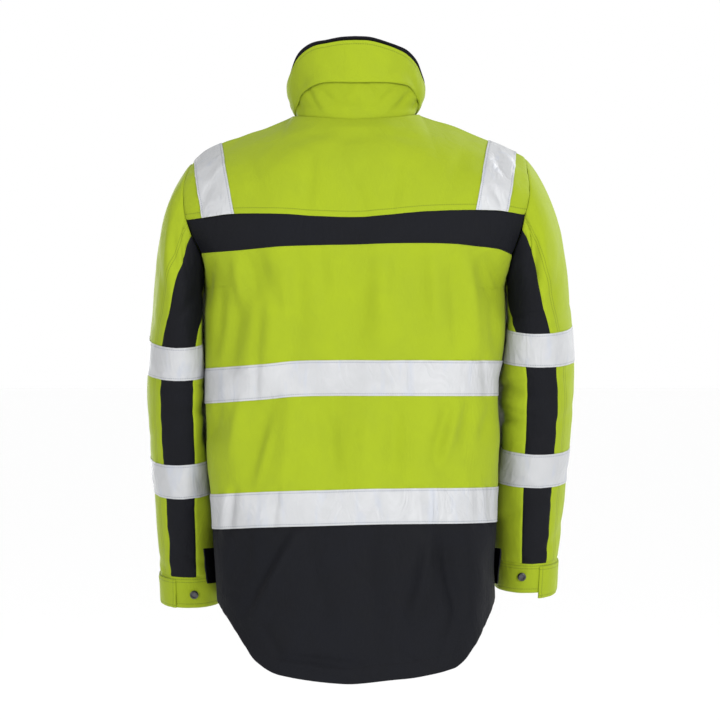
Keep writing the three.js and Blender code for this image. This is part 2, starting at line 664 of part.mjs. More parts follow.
// Draws a grid's outer rows or columns in by half a seam gap.
function drawIn(rows, edges) {
  const half = SEAM_GAP / 2;
  const pull = (place, towards) => {
    const way = towards.point.clone().sub(place.point);
    return { point: place.point.clone().addScaledVector(way, half / way.length()), normal: place.normal };
  };
  let grid = rows;
  if (edges.top) grid = [grid[0].map((p, j) => pull(p, grid[1][j])), ...grid.slice(1)];
  if (edges.bottom) grid = [...grid.slice(0, -1), grid.at(-1).map((p, j) => pull(p, grid.at(-2)[j]))];
  if (edges.first) grid = grid.map((row) => [pull(row[0], row[1]), ...row.slice(1)]);
  if (edges.last) grid = grid.map((row) => [...row.slice(0, -1), pull(row.at(-1), row.at(-2))]);
  return grid;
}
const ALL_EDGES = { top: true, bottom: true, first: true, last: true };

const seam = (table) => {
  const at = tableReader(table, 'x');
  return (x) => at(x, 'z');
};
const seams = {
  bandTop: seam(CHEST_BAND_TOP),
  bandBottom: seam(CHEST_BAND_BOTTOM),
  waistTop: seam(WAIST_TAPE_TOP),
  hipTop: seam(HIP_TAPE_TOP),
  tail: seam(TAIL_HEM),
  frontHem: () => FRONT_HEM_Z,
};
seams.waistBottom = (x) => seams.waistTop(x) - BODY_TAPE;
seams.hipBottom = (x) => seams.hipTop(x) - BODY_TAPE;

// Rows of back places between two seams, over even columns.
const BACK_COLUMNS = steps(-1, 1, 24);
function backRows(upper, lower, shares) {
  const from = BACK_COLUMNS.map((u) => downToSeam('back', u, upper));
  const to = BACK_COLUMNS.map((u) => downToSeam('back', u, lower));
  return shares.map((t) => BACK_COLUMNS.map((u, j) => bodySurface('back', u, from[j] + (to[j] - from[j]) * t)));
}

const SHOULDER_TAPE_COLUMNS = 3;
const YOKE_MIDDLE_COLUMNS = 8;
const YOKE_ROW_SHARES = [0, 0.07, 0.17, 0.3, 0.46, 0.63, 0.82, 1];

// Yoke columns follow the shoulder tapes' edges, so that the tapes lie on the yoke's own places.
function yokeGrid() {
  const rowAt = (t) => {
    const guide = t * downToSeam('back', 0.8, seams.bandTop);
    const z = plainBodyPoint('back', 0.8, guide).z;
    const [inner, outer] = [shoulderTapeAt.back(z, 'inner'), shoulderTapeAt.back(z, 'outer')];
    const at = (x) => acrossToX('back', x, guide);
    const [rightOut, rightIn, leftIn, leftOut] = [at(-outer), at(-inner), at(inner), at(outer)];
    const columns = stretches([
      [-1, rightOut, 1],
      [rightOut, rightIn, SHOULDER_TAPE_COLUMNS],
      [rightIn, 0, YOKE_MIDDLE_COLUMNS],
      [0, leftIn, YOKE_MIDDLE_COLUMNS],
      [leftIn, leftOut, SHOULDER_TAPE_COLUMNS],
      [leftOut, 1, 1],
    ]);
    return columns.map((u) => bodySurface('back', u, t * downToSeam('back', u, seams.bandTop)));
  };
  return YOKE_ROW_SHARES.map(rowAt);
}

// Front columns from the zip to the side, again following the shoulder tape.
const FRONT_MIDDLE_COLUMNS = 6;
const FRONT_SIDE_COLUMNS = 2;
function frontColumns(side, v) {
  const sign = signOf[side];
  const z = plainBodyPoint('front', sign * 0.7, v).z;
  const at = (x) => acrossToX('front', sign * x, v);
  const inner = at(shoulderTapeAt.front(z, 'inner'));
  const outer = at(shoulderTapeAt.front(z, 'outer'));
  return stretches([
    [at(ZIP_OPENING), inner, FRONT_MIDDLE_COLUMNS],
    [inner, outer, SHOULDER_TAPE_COLUMNS],
    [outer, sign, FRONT_SIDE_COLUMNS],
  ]);
}
function frontRows(side, upper, lower, shares) {
  const guideU = signOf[side] * 0.7;
  const guide = (seamZ) => (seamZ ? downToSeam('front', guideU, seamZ) : 0);
  const [top, bottom] = [guide(upper), guide(lower)];
  return shares.map((t) => frontColumns(side, top + (bottom - top) * t).map((u) => {
    const from = upper ? downToSeam('front', u, upper) : 0;
    const to = downToSeam('front', u, lower);
    return bodySurface('front', u, from + (to - from) * t);
  }));
}

const EVEN = (count) => steps(0, 1, count);

function addBack(yoke) {
  addMesh('back_yoke', clothWall(drawIn(yoke, ALL_EDGES), -SHELL, SHELL), COLORS.yellow);
  const band = backRows(seams.bandTop, seams.bandBottom, EVEN(2));
  addMesh('back_chest_band', clothWall(drawIn(band, ALL_EDGES), -SHELL, SHELL), COLORS.black);
  const upper = backRows(seams.bandBottom, seams.waistTop, EVEN(6));
  const waist = backRows(seams.waistTop, seams.waistBottom, EVEN(1));
  const lower = backRows(seams.waistBottom, seams.hipTop, EVEN(4));
  const hip = backRows(seams.hipTop, seams.hipBottom, EVEN(1));
  const body = [...upper, ...waist.slice(1), ...lower.slice(1), ...hip.slice(1)];
  addMesh('back_body', clothWall(drawIn(body, ALL_EDGES), -SHELL, SHELL), COLORS.yellow);
  addTape('waist_tape_back', waist);
  addTape('hip_tape_back', hip);
  const tail = backRows(seams.hipBottom, seams.tail, EVEN(7));
  addMesh('back_hem_panel', clothWall(drawIn(tail, ALL_EDGES), -SHELL, SHELL), COLORS.black);
}

function addTape(name, rows, closedRound = false) {
  const edges = closedRound ? {} : { first: true, last: true };
  addMesh(name, clothWall(drawIn(rows, edges), LAY_GAP, TAPE, closedRound), COLORS.silver, 0.35);
}

function addFront(side, yoke) {
  const shoulder = frontRows(side, null, seams.waistTop, [0, 0.04, 0.1, 0.18, 0.28, 0.4, 0.54, 0.69, 0.84, 1]);
  const waist = frontRows(side, seams.waistTop, seams.waistBottom, EVEN(1));
  const lower = frontRows(side, seams.waistBottom, seams.hipTop, EVEN(3));
  const hip = frontRows(side, seams.hipTop, seams.hipBottom, EVEN(1));
  const panel = [...shoulder, ...waist.slice(1), ...lower.slice(1), ...hip.slice(1)];
  addMesh(`front_${side}`, clothWall(drawIn(panel, ALL_EDGES), -SHELL, SHELL), COLORS.yellow);
  addTape(`waist_tape_front_${side}`, waist);
  addTape(`hip_tape_front_${side}`, hip);
  const hem = frontRows(side, seams.hipBottom, seams.frontHem, EVEN(4));
  addMesh(`front_lower_${side}`, clothWall(drawIn(hem, ALL_EDGES), -SHELL, SHELL), COLORS.black);

  const first = FRONT_MIDDLE_COLUMNS;
  const frontPart = shoulder.map((row) => row.slice(first, first + SHOULDER_TAPE_COLUMNS + 1));
  const yokeFirst = side === 'right' ? 1 : yoke[0].length - 2 - SHOULDER_TAPE_COLUMNS;
  let backPart = yoke.map((row) => row.slice(yokeFirst, yokeFirst + SHOULDER_TAPE_COLUMNS + 1));
  if (side === 'right') backPart = backPart.map((row) => row.toReversed());
  const tape = [...backPart.toReversed(), ...frontPart.slice(1)];
  const ends = drawIn(tape, { top: true, bottom: true });
  addMesh(`shoulder_tape_${side}`, clothWall(ends, SHOULDER_LAY_GAP, TAPE), COLORS.silver, 0.35);
}

// Columns round a sleeve from the forward seam, past the outside, the strip and the underside.
const FORWARD_SEAM = 230;
const SLEEVE_COLUMNS = { outside: 10, strip: 3, under: 5 };
function sleeveColumns(side, down) {
  const [outer, inner] = [stripAt[side](down, 'outer'), stripAt[side](down, 'inner')];
  return stretches([
    [FORWARD_SEAM - 360, outer, SLEEVE_COLUMNS.outside],
    [outer, inner, SLEEVE_COLUMNS.strip],
    [inner, FORWARD_SEAM, SLEEVE_COLUMNS.under],
  ]);
}

// Ring places down the arm: one ring is about 65 mm, so a tape covers a share of one.
function tapeSpan(side, middle) {
  const perRing = ringCentre(side, middle + 0.5).distanceTo(ringCentre(side, middle - 0.5));
  const half = SLEEVE_TAPE / perRing / 2;
  return [middle - half, middle + half];
}

function addSleeve(side) {
  const [upperTop, upperBottom] = tapeSpan(side, arm[side].upperTape);
  const [lowerTop, lowerBottom] = tapeSpan(side, arm[side].lowerTape);
  const places = stretches([
    [-1, 0, 5],
    [0, upperTop, 1],
    [upperTop, upperBottom, 1],
    [upperBottom, lowerTop, 4],
    [lowerTop, lowerBottom, 1],
    [lowerBottom, arm[side].cuffSeam, 3],
  ]);
  const ringAt = (down) => sleeveColumns(side, down).map((around) => sleeveSurface(side, around, down));
  const grid = places.map(ringAt);
  const { outside, strip, under } = SLEEVE_COLUMNS;
  const part = (from, count) => drawIn(grid.map((row) => row.slice(from, from + count + 1)), ALL_EDGES);
  addMesh(`sleeve_${side}`, clothWall(part(0, outside), -SHELL, SHELL), COLORS.yellow);
  addMesh(`sleeve_strip_${side}`, clothWall(part(outside, strip), -SHELL, SHELL), COLORS.black);
  addMesh(`under_sleeve_${side}`, clothWall(part(outside + strip, under), -SHELL, SHELL), COLORS.yellow);
  const tapeRings = (from, to) => [from, to].map((down) => ringAt(down).slice(0, -1));
  addTape(`sleeve_tape_upper_${side}`, tapeRings(upperTop, upperBottom), true);
  addTape(`sleeve_tape_lower_${side}`, tapeRings(lowerTop, lowerBottom), true);
}

// Cuff band, the tab that overlaps it from the front, and the stud beyond the tab's end.
const TAB = { left: { end: 62, dip: 0 }, right: { end: 66, dip: 8 }, start: -62, columns: 7 };
// The stud's section, as shares of its radius and height: rim, rolled ring and dished middle.
const STUD_PROFILE = [
  { out: 0, up: 0 },
  { out: 1, up: 0 },
  { out: 1, up: 0.45 },
  { out: 0.72, up: 0.9 },
  { out: 0.5, up: 0.72 },
  { out: 0, up: 0.62 },
];
const STUD = { left: { around: 96, down: 5.66 }, right: { around: 97, down: 5.55 } };
function addCuff(side) {
  const { cuffSeam, end } = arm[side];
  const tab = TAB[side];
  const tabColumns = steps(TAB.start, tab.end, TAB.columns);
  const restColumns = steps(tab.end, TAB.start + 360, 13).slice(1, -1);
  const columns = [...tabColumns, ...restColumns];
  const ringAt = (down) => columns.map((around) => sleeveSurface(side, around, down));
  const cuff = [cuffSeam, (cuffSeam + end) / 2, end].map(ringAt);
  const seated = drawIn(cuff, { top: true });
  addMesh(`cuff_${side}`, clothWall(seated, -SHELL, SHELL, true), COLORS.yellow);

  const perRing = ringCentre(side, end).distanceTo(ringCentre(side, end - 1));
  const tabTop = cuffSeam + CUFF_TAB_INSET / perRing;
  const tabRow = (t) => tabColumns.map((around, j) => {
    const dip = (tab.dip / perRing) * smooth(j / TAB.columns) * t;
    return sleeveSurface(side, around, tabTop + (end - tabTop) * t + dip);
  });
  addMesh(`cuff_tab_${side}`, clothWall([0, 0.5, 1].map(tabRow), LAY_GAP, SHELL), COLORS.yellow);
  addStud(side);
}

function addStud(side) {
  const { around, down } = STUD[side];
  const { point, normal } = sleeveSurface(side, around, down);
  const radius = STUD_DIAMETER / 2;
  const profile = STUD_PROFILE.map((p) => new THREE.Vector2(radius * p.out, STUD_HEIGHT * p.up));
  const stud = addMesh(`cuff_snap_${side}`, weld(new THREE.LatheGeometry(profile, 16)), COLORS.metal, 0.4, 0.6);
  stud.position.copy(point).addScaledVector(normal, STUD_SEAT);
  stud.quaternion.setFromUnitVectors(new THREE.Vector3(0, 1, 0), normal);
}

function weld(geometry) {
  const plain = geometry.clone();
  plain.deleteAttribute('normal');
  plain.deleteAttribute('uv');
  return BufferGeometryUtils.mergeVertices(plain, 1e-4);
}

// A collar layer as a grid round from one zip edge to the other.
function collarGrid(columns, low, high, count) {
  return EVEN(count).map((t) => columns.map((around) => {
    const [from, to] = [low(around), high(around)];
    return collarSurface(around, from + (to - from) * t);
  }));
}

// Share of the collar's height at which a layer's edge lies.
function heightShare(around, z) {
  const side = around < 0 ? 'right' : 'left';
  const base = necklinePoint(around).z;
  return THREE.MathUtils.clamp((z - base) / (collarTopAt(Math.abs(around), side) - base), 0, 1);
}

function addCollar() {
  const zipAngle = 180 - Math.asin(ZIP_OPENING / NECK.left) / DEGREE;
  const columns = steps(-zipAngle, zipAngle, 26);
  const freeEdge = (around) => {
    const side = around < 0 ? 'right' : 'left';
    return heightShare(around, collarEdgeAt(Math.abs(around), side)) * smooth((112 - Math.abs(around)) / 20);
  };
  const outerTop = (around) => 1 - COLLAR.outerDrop * Math.cos((around * DEGREE) / 2) ** 2;
  const outer = collarGrid(columns, freeEdge, outerTop, 4);
  const outerLift = -NECK_SEAM_GAP - COLLAR_WALL / 2;
  addMesh('collar_outer', clothWall(outer, outerLift, COLLAR_WALL), COLORS.yellow);
  const stand = collarGrid(columns, () => 0, () => COLLAR.standShare, 3);
  const standLift = outerLift - COLLAR_LAYER_GAP - COLLAR_WALL;
  addMesh('collar_stand', clothWall(stand, standLift, COLLAR_WALL), COLORS.yellow);
  const lining = collarGrid(columns, () => 0, () => 1, 4);
  const liningLift = standLift - COLLAR_LAYER_GAP - COLLAR_WALL;
  addMesh('collar_lining', clothWall(lining, liningLift, COLLAR_WALL), COLORS.black);
}

// Pocket flaps lie on the lower fronts and end free behind the hips, as plan points in from the rear.
const FLAP_END = {
  left: [
    { x: 211, y: 2 },
    { x: 206, y: -7 },
  ],
  right: [
    { x: 203.5, y: 4 },
    { x: 201.5, y: -7 },
  ],
};
const FLAP_COLUMNS = steps(0.93, 0.6, 6);
function addPocketFlap(side) {
  const sign = signOf[side];
  const rowAt = (z) => {
    const onPanel = FLAP_COLUMNS.map((share) => {
      const u = sign * share;
      return bodySurface('front', u, downToSeam('front', u, () => z));
    });
    const lean = (FLAP_TOP_Z - z) * FLAP_LEAN;
    const free = FLAP_END[side].map((place) => {
      const point = new THREE.Vector3(sign * (place.x - lean), place.y, z);
      return { point, normal: new THREE.Vector3(sign * 0.9, -0.44, 0).normalize() };
    });
    return [...free, ...onPanel];
  };
  const rows = steps(FLAP_TOP_Z, FLAP_TOP_Z - FLAP_HEIGHT, 2).map(rowAt);
  addMesh(`pocket_flap_${side}`, clothWall(rows, FLAP_LIFT, COLLAR_WALL), COLORS.black);
}

// Centre line of the closure, from the hem up the front and the collar, and its outward normal.
const ZIP = { chainWidth: 6, chainThick: 2.6, tapeThick: 1, sliderLength: 15 };
function zipPath() {
  const bottom = downToSeam('front', 0, () => FRONT_HEM_Z + ZIP_HEM_INSET);
  const front = steps(bottom, 0.02, 22).map((v) => plainBodyPoint('front', 0, v));
  const collar = steps(0.1, 0.97, 4).map((h) => collarSurface(180, h).point);
  return new THREE.CatmullRomCurve3([...front, ...collar].map((p) => new THREE.Vector3(0, p.y, p.z)));
}
function zipPlace(path, t, x) {
  const tangent = path.getTangentAt(t);
  const point = path.getPointAt(t);
  return { point: new THREE.Vector3(x, point.y, point.z), normal: new THREE.Vector3(0, -tangent.z, tangent.y) };
}

function addZip() {
  const path = zipPath();
  const length = path.getLength();
  const sliderShare = ZIP.sliderLength / length;
  const rowsAt = (x1, x2, end) => steps(0, end, 26).map((t) => [zipPlace(path, t, x1), zipPlace(path, t, x2)]);
  const half = ZIP.chainWidth / 2;
  const chainLift = -SHELL - LAY_GAP;
  const chainEnd = 1 - sliderShare - 0.5 / length;
  addMesh('zip_chain', clothWall(rowsAt(-half, half, chainEnd), chainLift, ZIP.chainThick), COLORS.black, 0.5);
  for (const side of ['left', 'right']) {
    const sign = signOf[side];
    const rows = rowsAt(sign * (half + LAY_GAP), sign * (ZIP_OPENING - LAY_GAP), chainEnd);
    addMesh(`zip_tape_${side}`, clothWall(rows, -SHELL, ZIP.tapeThick), COLORS.black);
  }
  addSliderAndPull(path, 1 - sliderShare / 2);
}

function solidOf(geometry) {
  const welded = weld(geometry);
  const vertProperties = new Float32Array(welded.attributes.position.array);
  const triVerts = new Uint32Array(welded.index.array);
  return new wasm.Manifold(new wasm.Mesh({ numProp: 3, vertProperties, triVerts }));
}
function geometryOf(solid) {
  const mesh = solid.getMesh();
  const geometry = new THREE.BufferGeometry();
  geometry.setAttribute('position', new THREE.Float32BufferAttribute(mesh.vertProperties, 3));
  geometry.setIndex(Array.from(mesh.triVerts));
  return geometry;
}
function box(width, depth, height, x, y, z) {
  return new THREE.BoxGeometry(width, depth, height).translate(x, y, z);
}

// The slider with its crown, and the pull whose crossbar turns inside the crown.
const SLIDER = { width: 9, thick: 4, crownWidth: 2.6, crownOut: 4.4, crownTall: 8, eye: 4 };
const PULL = { bar: 1.6, width: 9, armWidth: 2.2, eyeLength: 9, length: 34, thick: 1.6 };
function addSliderAndPull(path, t) {
  const { point, normal } = zipPlace(path, t, 0);
  const lean = Math.atan2(normal.z, -normal.y);
  const body = solidOf(box(SLIDER.width, SLIDER.thick, ZIP.sliderLength, 0, 0, 0));
  const crownY = -SLIDER.thick / 2 - SLIDER.crownOut / 2;
  const crown = solidOf(box(SLIDER.crownWidth, SLIDER.crownOut + 0.4, SLIDER.crownTall, 0, crownY + 0.2, 0));
  const hingeY = -SLIDER.thick / 2 - SLIDER.eye / 2 + 0.4;
  const eye = solidOf(box(SLIDER.crownWidth * 2, SLIDER.eye - 0.9, SLIDER.eye, 0, hingeY - 0.25, 0));
  const slider = addMesh('zip_slider', geometryOf(body.add(crown.subtract(eye))), COLORS.zipMetal, 0.4, 0.8);
  const seat = point.clone().addScaledVector(normal, SLIDER_SEAT);
  slider.position.copy(seat);
  slider.rotation.x = -lean;

  const hinge = new THREE.Vector3(0, hingeY - 0.25, 0).applyEuler(slider.rotation).add(seat);
  const armX = (PULL.width - PULL.armWidth) / 2;
  const bar = solidOf(box(PULL.width, PULL.bar, PULL.bar, 0, 0, 0));
  const top = PULL.bar / 2;
  const armSolid = (x) => solidOf(box(PULL.armWidth, PULL.thick, PULL.eyeLength + top, x, 0, (top - PULL.eyeLength) / 2));
  const plateLength = PULL.length - PULL.eyeLength;
  const plate = solidOf(box(PULL.width, PULL.thick, plateLength, 0, 0, -PULL.eyeLength - plateLength / 2));
  const pull = bar.add(armSolid(armX)).add(armSolid(-armX)).add(plate);
  const mesh = addMesh('zip_pull', geometryOf(pull), COLORS.zipMetal, 0.4, 0.8);
  mesh.position.copy(hinge);
}

const yoke = yokeGrid();
addBack(yoke);
for (const side of ['left', 'right']) {
  addFront(side, yoke);
  addSleeve(side);
  addCuff(side);
  addPocketFlap(side);
}
addCollar();
addZip();

export default jacket;
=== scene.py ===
import json
import math

import bpy
import numpy as np
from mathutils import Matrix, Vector

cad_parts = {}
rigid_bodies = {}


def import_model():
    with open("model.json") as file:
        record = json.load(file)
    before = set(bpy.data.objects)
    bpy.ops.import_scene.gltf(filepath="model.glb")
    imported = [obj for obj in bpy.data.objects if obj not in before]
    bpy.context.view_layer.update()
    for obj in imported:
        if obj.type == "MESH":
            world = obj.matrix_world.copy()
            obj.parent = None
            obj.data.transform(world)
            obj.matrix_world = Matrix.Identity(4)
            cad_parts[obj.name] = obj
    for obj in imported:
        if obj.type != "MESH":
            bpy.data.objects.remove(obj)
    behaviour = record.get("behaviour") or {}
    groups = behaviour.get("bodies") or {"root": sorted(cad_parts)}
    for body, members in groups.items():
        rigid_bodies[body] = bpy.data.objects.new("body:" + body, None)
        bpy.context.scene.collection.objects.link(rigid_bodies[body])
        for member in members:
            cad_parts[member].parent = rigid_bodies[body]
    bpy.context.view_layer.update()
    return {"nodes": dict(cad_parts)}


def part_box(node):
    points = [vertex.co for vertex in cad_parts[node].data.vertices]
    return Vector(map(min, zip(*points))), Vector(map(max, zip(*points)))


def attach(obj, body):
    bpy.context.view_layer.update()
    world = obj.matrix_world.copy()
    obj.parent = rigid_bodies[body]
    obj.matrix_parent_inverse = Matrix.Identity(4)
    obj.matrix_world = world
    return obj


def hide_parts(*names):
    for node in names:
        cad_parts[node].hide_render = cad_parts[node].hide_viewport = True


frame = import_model()

# Driving sizes, shared with the solids
SHELL = 2.4
TAPE = 0.9
COLLAR_WALL = 2.0
LAY_GAP = 0.3
SHOULDER_LAY_GAP = 0.6
COLLAR_LAYER_GAP = 0.8
NECK_SEAM_GAP = 2
ARMHOLE_TOP_GAP = 0.5
ARMPIT_GAP = 0.6
FLAP_LIFT = 0.6
BODY_TAPE = 49
SLEEVE_TAPE = 49
ARMPIT_Z = -238
FORM_BOTTOM_Z = -800
SIDE_SEAM_Y = -5
BODY_SQUARENESS = 2.5
FRONT_HEM_Z = -674
ZIP_OPENING = 9
SLEEVE_CLEARANCE = 2.6
FLAP_HEIGHT = 49
FLAP_TOP_Z = -603
NECK_SHARE = 0.42
SHOULDER_FADE = 0.35
NECK = {"left": 88.5, "right": 90, "side_y": -5, "depth": 67, "left_z": 2, "right_z": 4, "back_z": -4, "front_z": -48}
COLLAR = {"left": 94, "right": 99, "top_y": -8, "top_depth": 80, "bulge": 4, "stand_share": 0.8, "outer_drop": 0.05}
SIGN = {"left": 1, "right": -1}
MM = 0.001


def smooth(t):
    t = np.clip(t, 0, 1)
    return t * t * (3 - 2 * t)


def lerp(a, b, t):
    return a + (b - a) * t


class Table:
    """Rows with named columns, read smoothly by the first column."""

    def __init__(self, names, rows):
        self.names = names.split()
        self.columns = np.array(rows, float).T
        keys = self.columns[0]
        last = len(keys) - 1
        a = np.maximum(np.arange(last + 1) - 1, 0)
        b = np.minimum(np.arange(last + 1) + 1, last)
        self.slopes = (self.columns[:, b] - self.columns[:, a]) / (keys[b] - keys[a])

    def __call__(self, place, name):
        keys = self.columns[0]
        row = self.names.index(name)
        values, slopes = self.columns[row], self.slopes[row]
        x = np.clip(place, keys[0], keys[-1])
        i = np.clip(np.searchsorted(keys, x, side="left") - 1, 0, len(keys) - 2)
        span = keys[i + 1] - keys[i]
        t = (x - keys[i]) / span
        start = values[i] * (1 + 2 * t) * (1 - t) ** 2 + slopes[i] * span * t * (1 - t) ** 2
        end = values[i + 1] * t * t * (3 - 2 * t) + slopes[i + 1] * span * t * t * (t - 1)
        return start + end


ARMHOLE = Table("around left right left_z right_z y", [
    (0, 229, 238, -63, -55, -8), (30, 237, 242, -86, -80, 27), (60, 239, 243, -114, -108, 49),
    (90, 235, 237, -142, -135, 59), (115, 226, 230, -167, -163, 57), (140, 214, 219, -192, -193, 45),
    (160, 210, 212, -220, -220, 24), (180, 210, 210, -238, -238, -5), (205, 209, 210, -220, -220, -34),
    (230, 212, 214, -188, -188, -55), (270, 219, 223, -144, -140, -66), (300, 225, 231, -108, -103, -58),
    (330, 229, 236, -80, -73, -37), (360, 229, 238, -63, -55, -8),
])
SHOULDER_RIDGE = Table("x left right", [
    (88, 2, 4), (110, -8, -3), (129, -15.5, -8), (160, -26, -20), (187, -35, -32), (209, -46, -41),
    (229, -63, -50), (238, -70, -55),
])
CENTRE = {
    "back": Table("down y z turn", [
        (0, 62, -4, 42), (0.12, 81, -24, 46), (0.25, 98, -56, 50), (0.4, 111, -98, 55), (0.6, 119, -148, 63),
        (0.8, 122, -194, 75), (1, 121, -238, 90),
    ]),
    "front": Table("down y z turn", [
        (0, -72, -48, 46), (0.15, -92, -76, 50), (0.35, -113, -117, 56), (0.6, -130, -163, 65),
        (0.8, -138, -202, 76), (1, -142, -238, 90),
    ]),
}
BODY = Table("z left right back front", [
    (-800, 190, 193, 138, -146), (-735, 191, 194, 135, -147), (-675, 193, 195.5, 131, -148),
    (-625, 196, 194, 127, -149), (-565, 199, 198, 122, -150), (-515, 203, 199, 118, -150),
    (-450, 208, 203, 113, -150), (-395, 209, 200.5, 111, -150), (-367, 209.5, 200, 112, -150),
    (-341, 210, 205, 113, -149), (-300, 211, 210.5, 117, -147), (-238, 210, 210, 121, -142),
])
CHEST_BAND_TOP = Table("x z", [
    (-233, -137), (-195, -132), (-102, -133.5), (-49, -138.5), (0, -142), (54, -140.5), (99, -137.5),
    (166, -137), (210, -142), (232, -144.5),
])
CHEST_BAND_BOTTOM = Table("x z", [
    (-219, -193), (-200, -186), (-169, -182.5), (-137, -179), (-74, -178), (0, -180), (100, -182.5),
    (156, -187.5), (213, -191),
])
WAIST_TAPE_TOP = Table("x z", [
    (-200, -340), (-49, -339.5), (35, -339.5), (83, -340.5), (124, -344.5), (210, -351),
])
HIP_TAPE_TOP = Table("x z", [(-199, -516), (-49, -516), (35, -518), (136, -521.5), (199, -526)])
TAIL_HEM = Table("x z", [
    (-196, -674), (-191, -687), (-178.5, -713), (-167, -733.5), (-152, -753), (-137, -764), (-88, -775),
    (-49, -779), (0, -784), (24, -783.5), (60, -780), (89, -775.5), (115, -769), (139, -753), (153, -733),
    (164, -716), (183, -689), (194, -674),
])
SHOULDER_TAPE = {
    "back": Table("z inner outer", [(-145, 166, 211), (-90, 177, 220), (-30, 187, 226)]),
    "front": Table("z inner outer", [(-345, 138, 181), (-240, 143, 186), (-140, 152, 196), (-30, 187, 226)]),
}
SLEEVE = {
    "left": Table("ring outer inner z y half_depth", [
        (0, 284, 206, -262, -22, 84), (1, 290.5, 200, -330, -34, 81), (2, 292.5, 197, -395, -44, 77),
        (3, 288.5, 194, -462, -56, 72), (4, 282.5, 191, -535, -70, 66), (5, 277, 187, -621, -87, 57),
        (6, 274, 188, -680, -97, 53),
    ]),
    "right": Table("ring outer inner z y half_depth", [
        (0, 301.5, 207, -255, -22, 81), (1, 307, 200, -325, -34, 77), (2, 308, 195, -390, -44, 73),
        (3, 303, 192, -455, -56, 69), (4, 296.5, 191, -522, -69, 64), (5, 289, 193, -604, -85, 57),
        (6, 284, 196, -659, -94, 53),
    ]),
}
ARM = {
    "left": {"upper_tape": 1.04, "lower_tape": 3.49, "cuff_seam": 5.22, "end": 6},
    "right": {"upper_tape": 0.84, "lower_tape": 3.41, "cuff_seam": 5.2, "end": 6},
}
STRIP = {
    "left": Table("down outer inner", [
        (-1, 114, 172), (-0.6, 107, 168), (-0.3, 84.5, 163), (0, 69.5, 154), (0.3, 61.5, 136),
        (0.8, 55, 120.5), (2, 55.5, 114), (3, 53.5, 112), (4.5, 51, 103.5), (6, 50, 98.5),
    ]),
    "right": Table("down outer inner", [
        (-1, 111, 172), (-0.6, 104, 168), (-0.3, 92, 161), (0.1, 77.5, 146.5), (0.6, 67, 122),
        (1.2, 59, 107), (2, 54.5, 102.5), (3, 54.5, 100.5), (4.2, 51.5, 99), (6, 53.5, 97),
    ]),
}
COLLAR_TOP = Table("around left right", [
    (0, 108, 108), (12, 107, 107), (25, 103.5, 101.5), (37, 100, 95), (48, 92.5, 87.5), (61, 79, 73), (74, 59, 53),
    (90, 44, 41), (130, 28, 27), (180, 22, 22),
])
COLLAR_FREE_EDGE = Table("around left right", [
    (0, 44, 44), (24, 44.5, 44.5), (37, 40.5, 43.5), (54, 29, 38.5), (69, 12.5, 24.5), (84, 3, 8), (90, 2.5, 5),
])

# Main folds, as in the solids: soft troughs (deep above 0) or ridges (below 0) along lines across x and z.
FOLD_COLUMNS = "x1 z1 x2 z2 deep wide"
MAIN_FOLDS = {
    "back": [
        (137, -192, 110, -262, 7, 15), (162, -250, 176, -345, 8, 16), (112, -190, 122, -345, -6, 20),
        (76, -195, 82, -345, 4, 18), (2, -185, 0, -345, 5, 24), (-34, -190, -36, -340, -4, 20),
        (-80, -185, -84, -335, 4, 22), (-172, -192, -196, -262, 6, 13), (118, -400, 148, -505, 7, 18),
        (88, -395, 96, -510, -4, 17), (26, -400, 44, -512, 4, 20), (-52, -400, -56, -512, 4, 20),
        (-114, -460, -128, -505, 5, 18), (190, -420, 200, -455, 5, 14), (150, -580, 166, -655, 6, 16),
        (84, -585, 138, -690, -5, 16), (-100, -600, -82, -690, -5, 20), (-124, -585, -144, -690, 6, 20),
    ],
    "front": [
        (140, -215, 112, -325, 6, 16), (66, -200, 60, -330, 4, 20), (-150, -220, -118, -320, 6, 16),
        (-70, -190, -74, -330, 4, 21), (122, -400, 100, -505, 5, 18), (-112, -405, -132, -500, 5, 18),
        (60, -590, 72, -650, 4, 18), (-64, -585, -58, -655, 4, 18),
    ],
}

